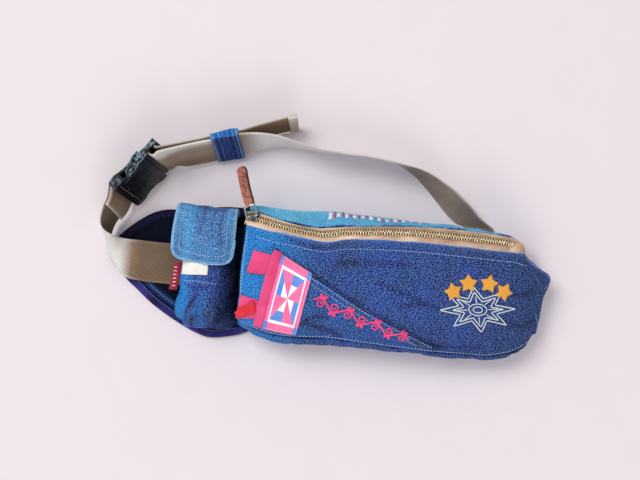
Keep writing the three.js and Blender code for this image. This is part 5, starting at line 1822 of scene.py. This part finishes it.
def make_body_stitches(cloth, front_ground):
    """Pale topstitching along the zip, the seams and the slant pocket's mouth."""
    xs = np.linspace(LEFT + 2, 120, 60)
    zip_low = np.column_stack([xs, KEY_LINES[4](xs)[:, 0]])
    near = [(x, y - 1.6) for x, y in zip_low[::3]]
    far = [(x, y - 11) for x, y in zip_low[2::3]]
    xs = np.linspace(LEFT + 4, 132, 40)
    seam = [(x, y + 2.4) for x, y in zip(xs, KEY_LINES[2](xs)[:, 0])]
    left_edge = [(LEFT + 3.0, 44), (LEFT + 2.6, 20), (LEFT + 2.6, -10), (LEFT + 3.4, -36)]
    rows = stitch_rows("front_topstitch", front_ground, [near, far, seam, left_edge], cloth["pale_thread"],
                       **TOPSTITCH)
    finish_piece(rows, "pack", "denim")
    slant = stitch_rows("slant_topstitch", front_ground,
                        [beside(SLANT, -1.6)[6:-1], beside(SLANT, -6.5)[8:-4]], cloth["pale_thread"],
                        **TOPSTITCH)
    finish_piece(slant, "pack", "denim")


def make_patch_stitches(cloth, ground):
    small = {"length": 1.8, "gap": 0.7}
    rows = [[(-134, -44), (-121.2, 27.5)], [(-126.6, -45.6), (-114, 24.2)]]
    pink = stitch_rows("patch_stitches_pink", ground, rows, cloth["pink_thread"], **small, radius=0.25)
    finish_piece(pink, "pack", "ribbon")
    rows = [[(-125, -45.8), (-93.6, -48.8)], [(-93.6, -48.8), (-84.4, 9.6)], [(-84.4, 9.6), (-113.6, 24)]]
    white = stitch_rows("patch_stitches_white", ground, rows, cloth["white_thread"], **small, radius=0.22)
    finish_piece(white, "pack", "printed_patch")


def make_wing_stitches(cloth, ground, edge):
    side = inward(edge)
    rows = [edge[4:84] + side[4:84] * 7.0, edge[6:70] + side[6:70] * 13.5]
    pieces = Pieces()
    for row in rows:
        add_stitches(pieces, *ground.drop(resample(row, 260), 0.1), 2.3, 1.0, 0.28)
    finish_piece(pieces.make("wing_topstitch", cloth["grey_thread"]), "pack", "binding")


def make_pocket_stitches(cloth, ground):
    rows = [[(-206, -11), (-198, -9.6), (-188, -9.8), (-172, -10.6)]]
    made = stitch_rows("pocket_topstitch", ground, rows, cloth["pale_thread"], **TOPSTITCH)
    finish_piece(made, "pack", "denim")


# ---------------------------------------------------------------- cloth and metal finishes
def patch_print(name):
    """A pinwheel quilt block in pink, white and blue, printed on satin."""
    g = Graph(name)
    where = g.node("ShaderNodeUVMap", uv_map="pattern").outputs["UV"]
    split = g.node("ShaderNodeSeparateXYZ", {"Vector": where})
    x = g.math("SUBTRACT", split.outputs["X"], 0.5)
    y = g.math("SUBTRACT", split.outputs["Y"], 0.5)
    turn = g.math("DIVIDE", g.math("ARCTAN2", y, x), math.pi / 4)
    sector = g.math("FLOOR", g.math("ADD", turn, 8.0))
    odd = g.math("MODULO", sector, 2.0)
    far = g.math("MAXIMUM", g.math("ABSOLUTE", x), g.math("ABSOLUTE", y))
    near = g.math("MINIMUM", g.math("ABSOLUTE", x), g.math("ABSOLUTE", y))
    white, blue, pink = srgb(252, 248, 252), srgb(40, 128, 226), srgb(255, 88, 156)
    tips = g.mix(g.math("GREATER_THAN", far, 0.2), white, blue)
    wheel = g.mix(odd, pink, tips)
    border = g.mix(g.math("GREATER_THAN", near, 0.375), pink, blue)
    border = g.mix(g.math("LESS_THAN", far, 0.385), border, white)
    block = g.mix(g.math("GREATER_THAN", far, 0.345), wheel, border)
    # Painted sheen: the satin is lightened in soft patches towards pale pink.
    sheen_noise = g.noise(g.space("Object"), 120, 3)
    color = g.mix(g.math("MULTIPLY", sheen_noise, 0.16), block, srgb(255, 240, 248))
    weave = g.wave(g.space("UV"), 900, 0.2, "DIAGONAL")
    return g.finish(color, 0.5, g.bump(weave, 0.15, 0.0002), sheen=0.2)


def ink(name, color):
    g = Graph(name)
    crackle = g.noise(g.space("Object"), 700, 3)
    faded = g.mix(g.remap(crackle, 0.55, 0.75), color, srgb(90, 140, 205))
    return g.finish(faded, 0.55, g.bump(crackle, 0.2, 0.0002))


def make_materials():
    pale = srgb(184, 226, 252)
    return {
        # The denim's last colour is the painted shade of the pack's right end.
        "denim": denim("denim", srgb(2, 6, 46), srgb(24, 49, 146), srgb(138, 172, 255), srgb(42, 152, 250),
                       wear=0.3, far=srgb(2, 36, 80)),
        "denim_light": denim("denim_light", srgb(12, 40, 120), srgb(40, 104, 190), pale, srgb(112, 214, 255),
                             grain=0.6),
        "flap": denim("denim_flap", srgb(20, 58, 130), srgb(54, 126, 212), srgb(186, 230, 252),
                      srgb(88, 188, 254)),
        "denim_dark": denim("denim_dark", srgb(1, 4, 14), srgb(3, 9, 28), srgb(22, 38, 80), srgb(52, 92, 160),
                            wear=0.2, grain=0.3),
        "ridge": denim("denim_ridge", srgb(70, 110, 180), srgb(110, 165, 225), pale, pale),
        "worn_edge": denim("denim_worn_edge", srgb(110, 165, 215), srgb(150, 195, 235), srgb(220, 235, 245),
                           pale),
        "lining": ribbed_cloth("lining", srgb(20, 24, 40), srgb(44, 50, 72), 0.0006),
        "padding": ribbed_cloth("padding_mesh", srgb(70, 74, 84), srgb(150, 152, 160), 0.0022, 0.6, 0.9),
        "binding": denim("binding_tape", srgb(6, 8, 26), srgb(12, 14, 42), srgb(104, 98, 176),
                         srgb(58, 52, 132), wear=0.3, grain=0.2),
        # Each webbing's last colour is its painted highlight; the second webbing is a greyer copy painted for
        # the strap that lies in shade.
        "webbing": webbing_cloth("webbing", srgb(98, 76, 58), srgb(180, 152, 128), srgb(255, 250, 242)),
        "webbing_painted_shade": webbing_cloth("webbing_painted_shade", srgb(98, 80, 68), srgb(198, 174, 156),
                                       srgb(255, 244, 236)),
        "web_thread": thread("web_thread", srgb(110, 92, 76), srgb(170, 150, 130)),
        "zip_tape": ribbed_cloth("zip_tape", srgb(160, 100, 76), srgb(255, 220, 192), 0.0012, 0.0, 0.7, 0.6),
        "brass": metal("brass", srgb(150, 128, 88), srgb(255, 240, 206), 0.34),
        "antique": metal("antique_metal", srgb(48, 46, 42), srgb(150, 146, 130), 0.3),
        "steel": metal("bail_metal", srgb(110, 126, 134), srgb(236, 246, 250), 0.2),
        "leather": leather("leather", srgb(140, 72, 56), srgb(212, 138, 118)),
        "leather_dark": leather("leather_dark", srgb(34, 22, 20), srgb(74, 46, 40)),
        "plastic": plastic("plastic", srgb(5, 5, 8), srgb(26, 28, 34)),
        "patch": patch_print("patch_print"),
        "pink_cloth": ribbed_cloth("pink_ribbon", srgb(226, 40, 108), srgb(255, 96, 156), 0.0007, rough=0.55,
                                   mottle=0.4),
        "red_cloth": ribbed_cloth("red_ribbon", srgb(214, 0, 34), srgb(255, 24, 62), 0.0007, 0.0, 0.5, 0.4),
        "red_tab": ribbed_cloth("red_tab", srgb(138, 0, 34), srgb(206, 14, 62), 0.0006, 0.0, 0.6, 0.4),
        "cream": ribbed_cloth("cream_strip", srgb(240, 234, 216), srgb(255, 254, 248), 0.0009, 0.0, 0.9, 0.7),
        "pink_thread": thread("pink_thread", srgb(240, 20, 96), srgb(255, 84, 156)),
        "white_thread": thread("white_thread", srgb(196, 214, 222), srgb(252, 252, 250)),
        "orange_thread": thread("orange_thread", srgb(216, 130, 24), srgb(255, 192, 66), 700),
        "pale_thread": thread("pale_thread", srgb(140, 176, 226), srgb(206, 226, 250)),
        "grey_thread": thread("grey_thread", srgb(84, 84, 130), srgb(168, 170, 206)),
        "dark_thread": thread("dark_thread", srgb(70, 36, 30), srgb(120, 66, 54)),
        "white_ink": ink("white_ink", srgb(244, 240, 246)),
        "red_ink": ink("red_ink", srgb(214, 50, 96)),
    }


def main():
    make_camera()
    make_studio()
    cloth = make_materials()
    front, gusset = make_front(cloth)
    make_ends(cloth)
    make_back(cloth)
    make_lining(cloth)
    make_top(cloth)
    shoulder = bpy.data.objects["right_shoulder_cloth"]
    bare = Ground(front, gusset, shoulder)
    slant = make_slant_pocket(cloth, bare)
    dressed = Ground(front, gusset, shoulder, slant)
    patch, band = make_patch(cloth, dressed)
    make_embroidery(cloth, dressed)
    make_body_stitches(cloth, dressed)
    make_patch_stitches(cloth, Ground(front, slant, patch, band))
    make_print(cloth)
    make_zip(cloth)
    make_puller(cloth)
    wing, edge = make_wing(cloth)
    binding = make_binding(cloth, edge)
    make_wing_stitches(cloth, Ground(wing, binding), edge)
    pocket = make_pocket(cloth)
    make_pocket_stitches(cloth, Ground(pocket))
    make_pocket_trim(cloth, pocket)
    flap, outline = make_flap(cloth)
    flap_stitches(cloth, flap, outline)
    make_belt(cloth)
    make_keeper(cloth)
    make_buckle(cloth)


main()
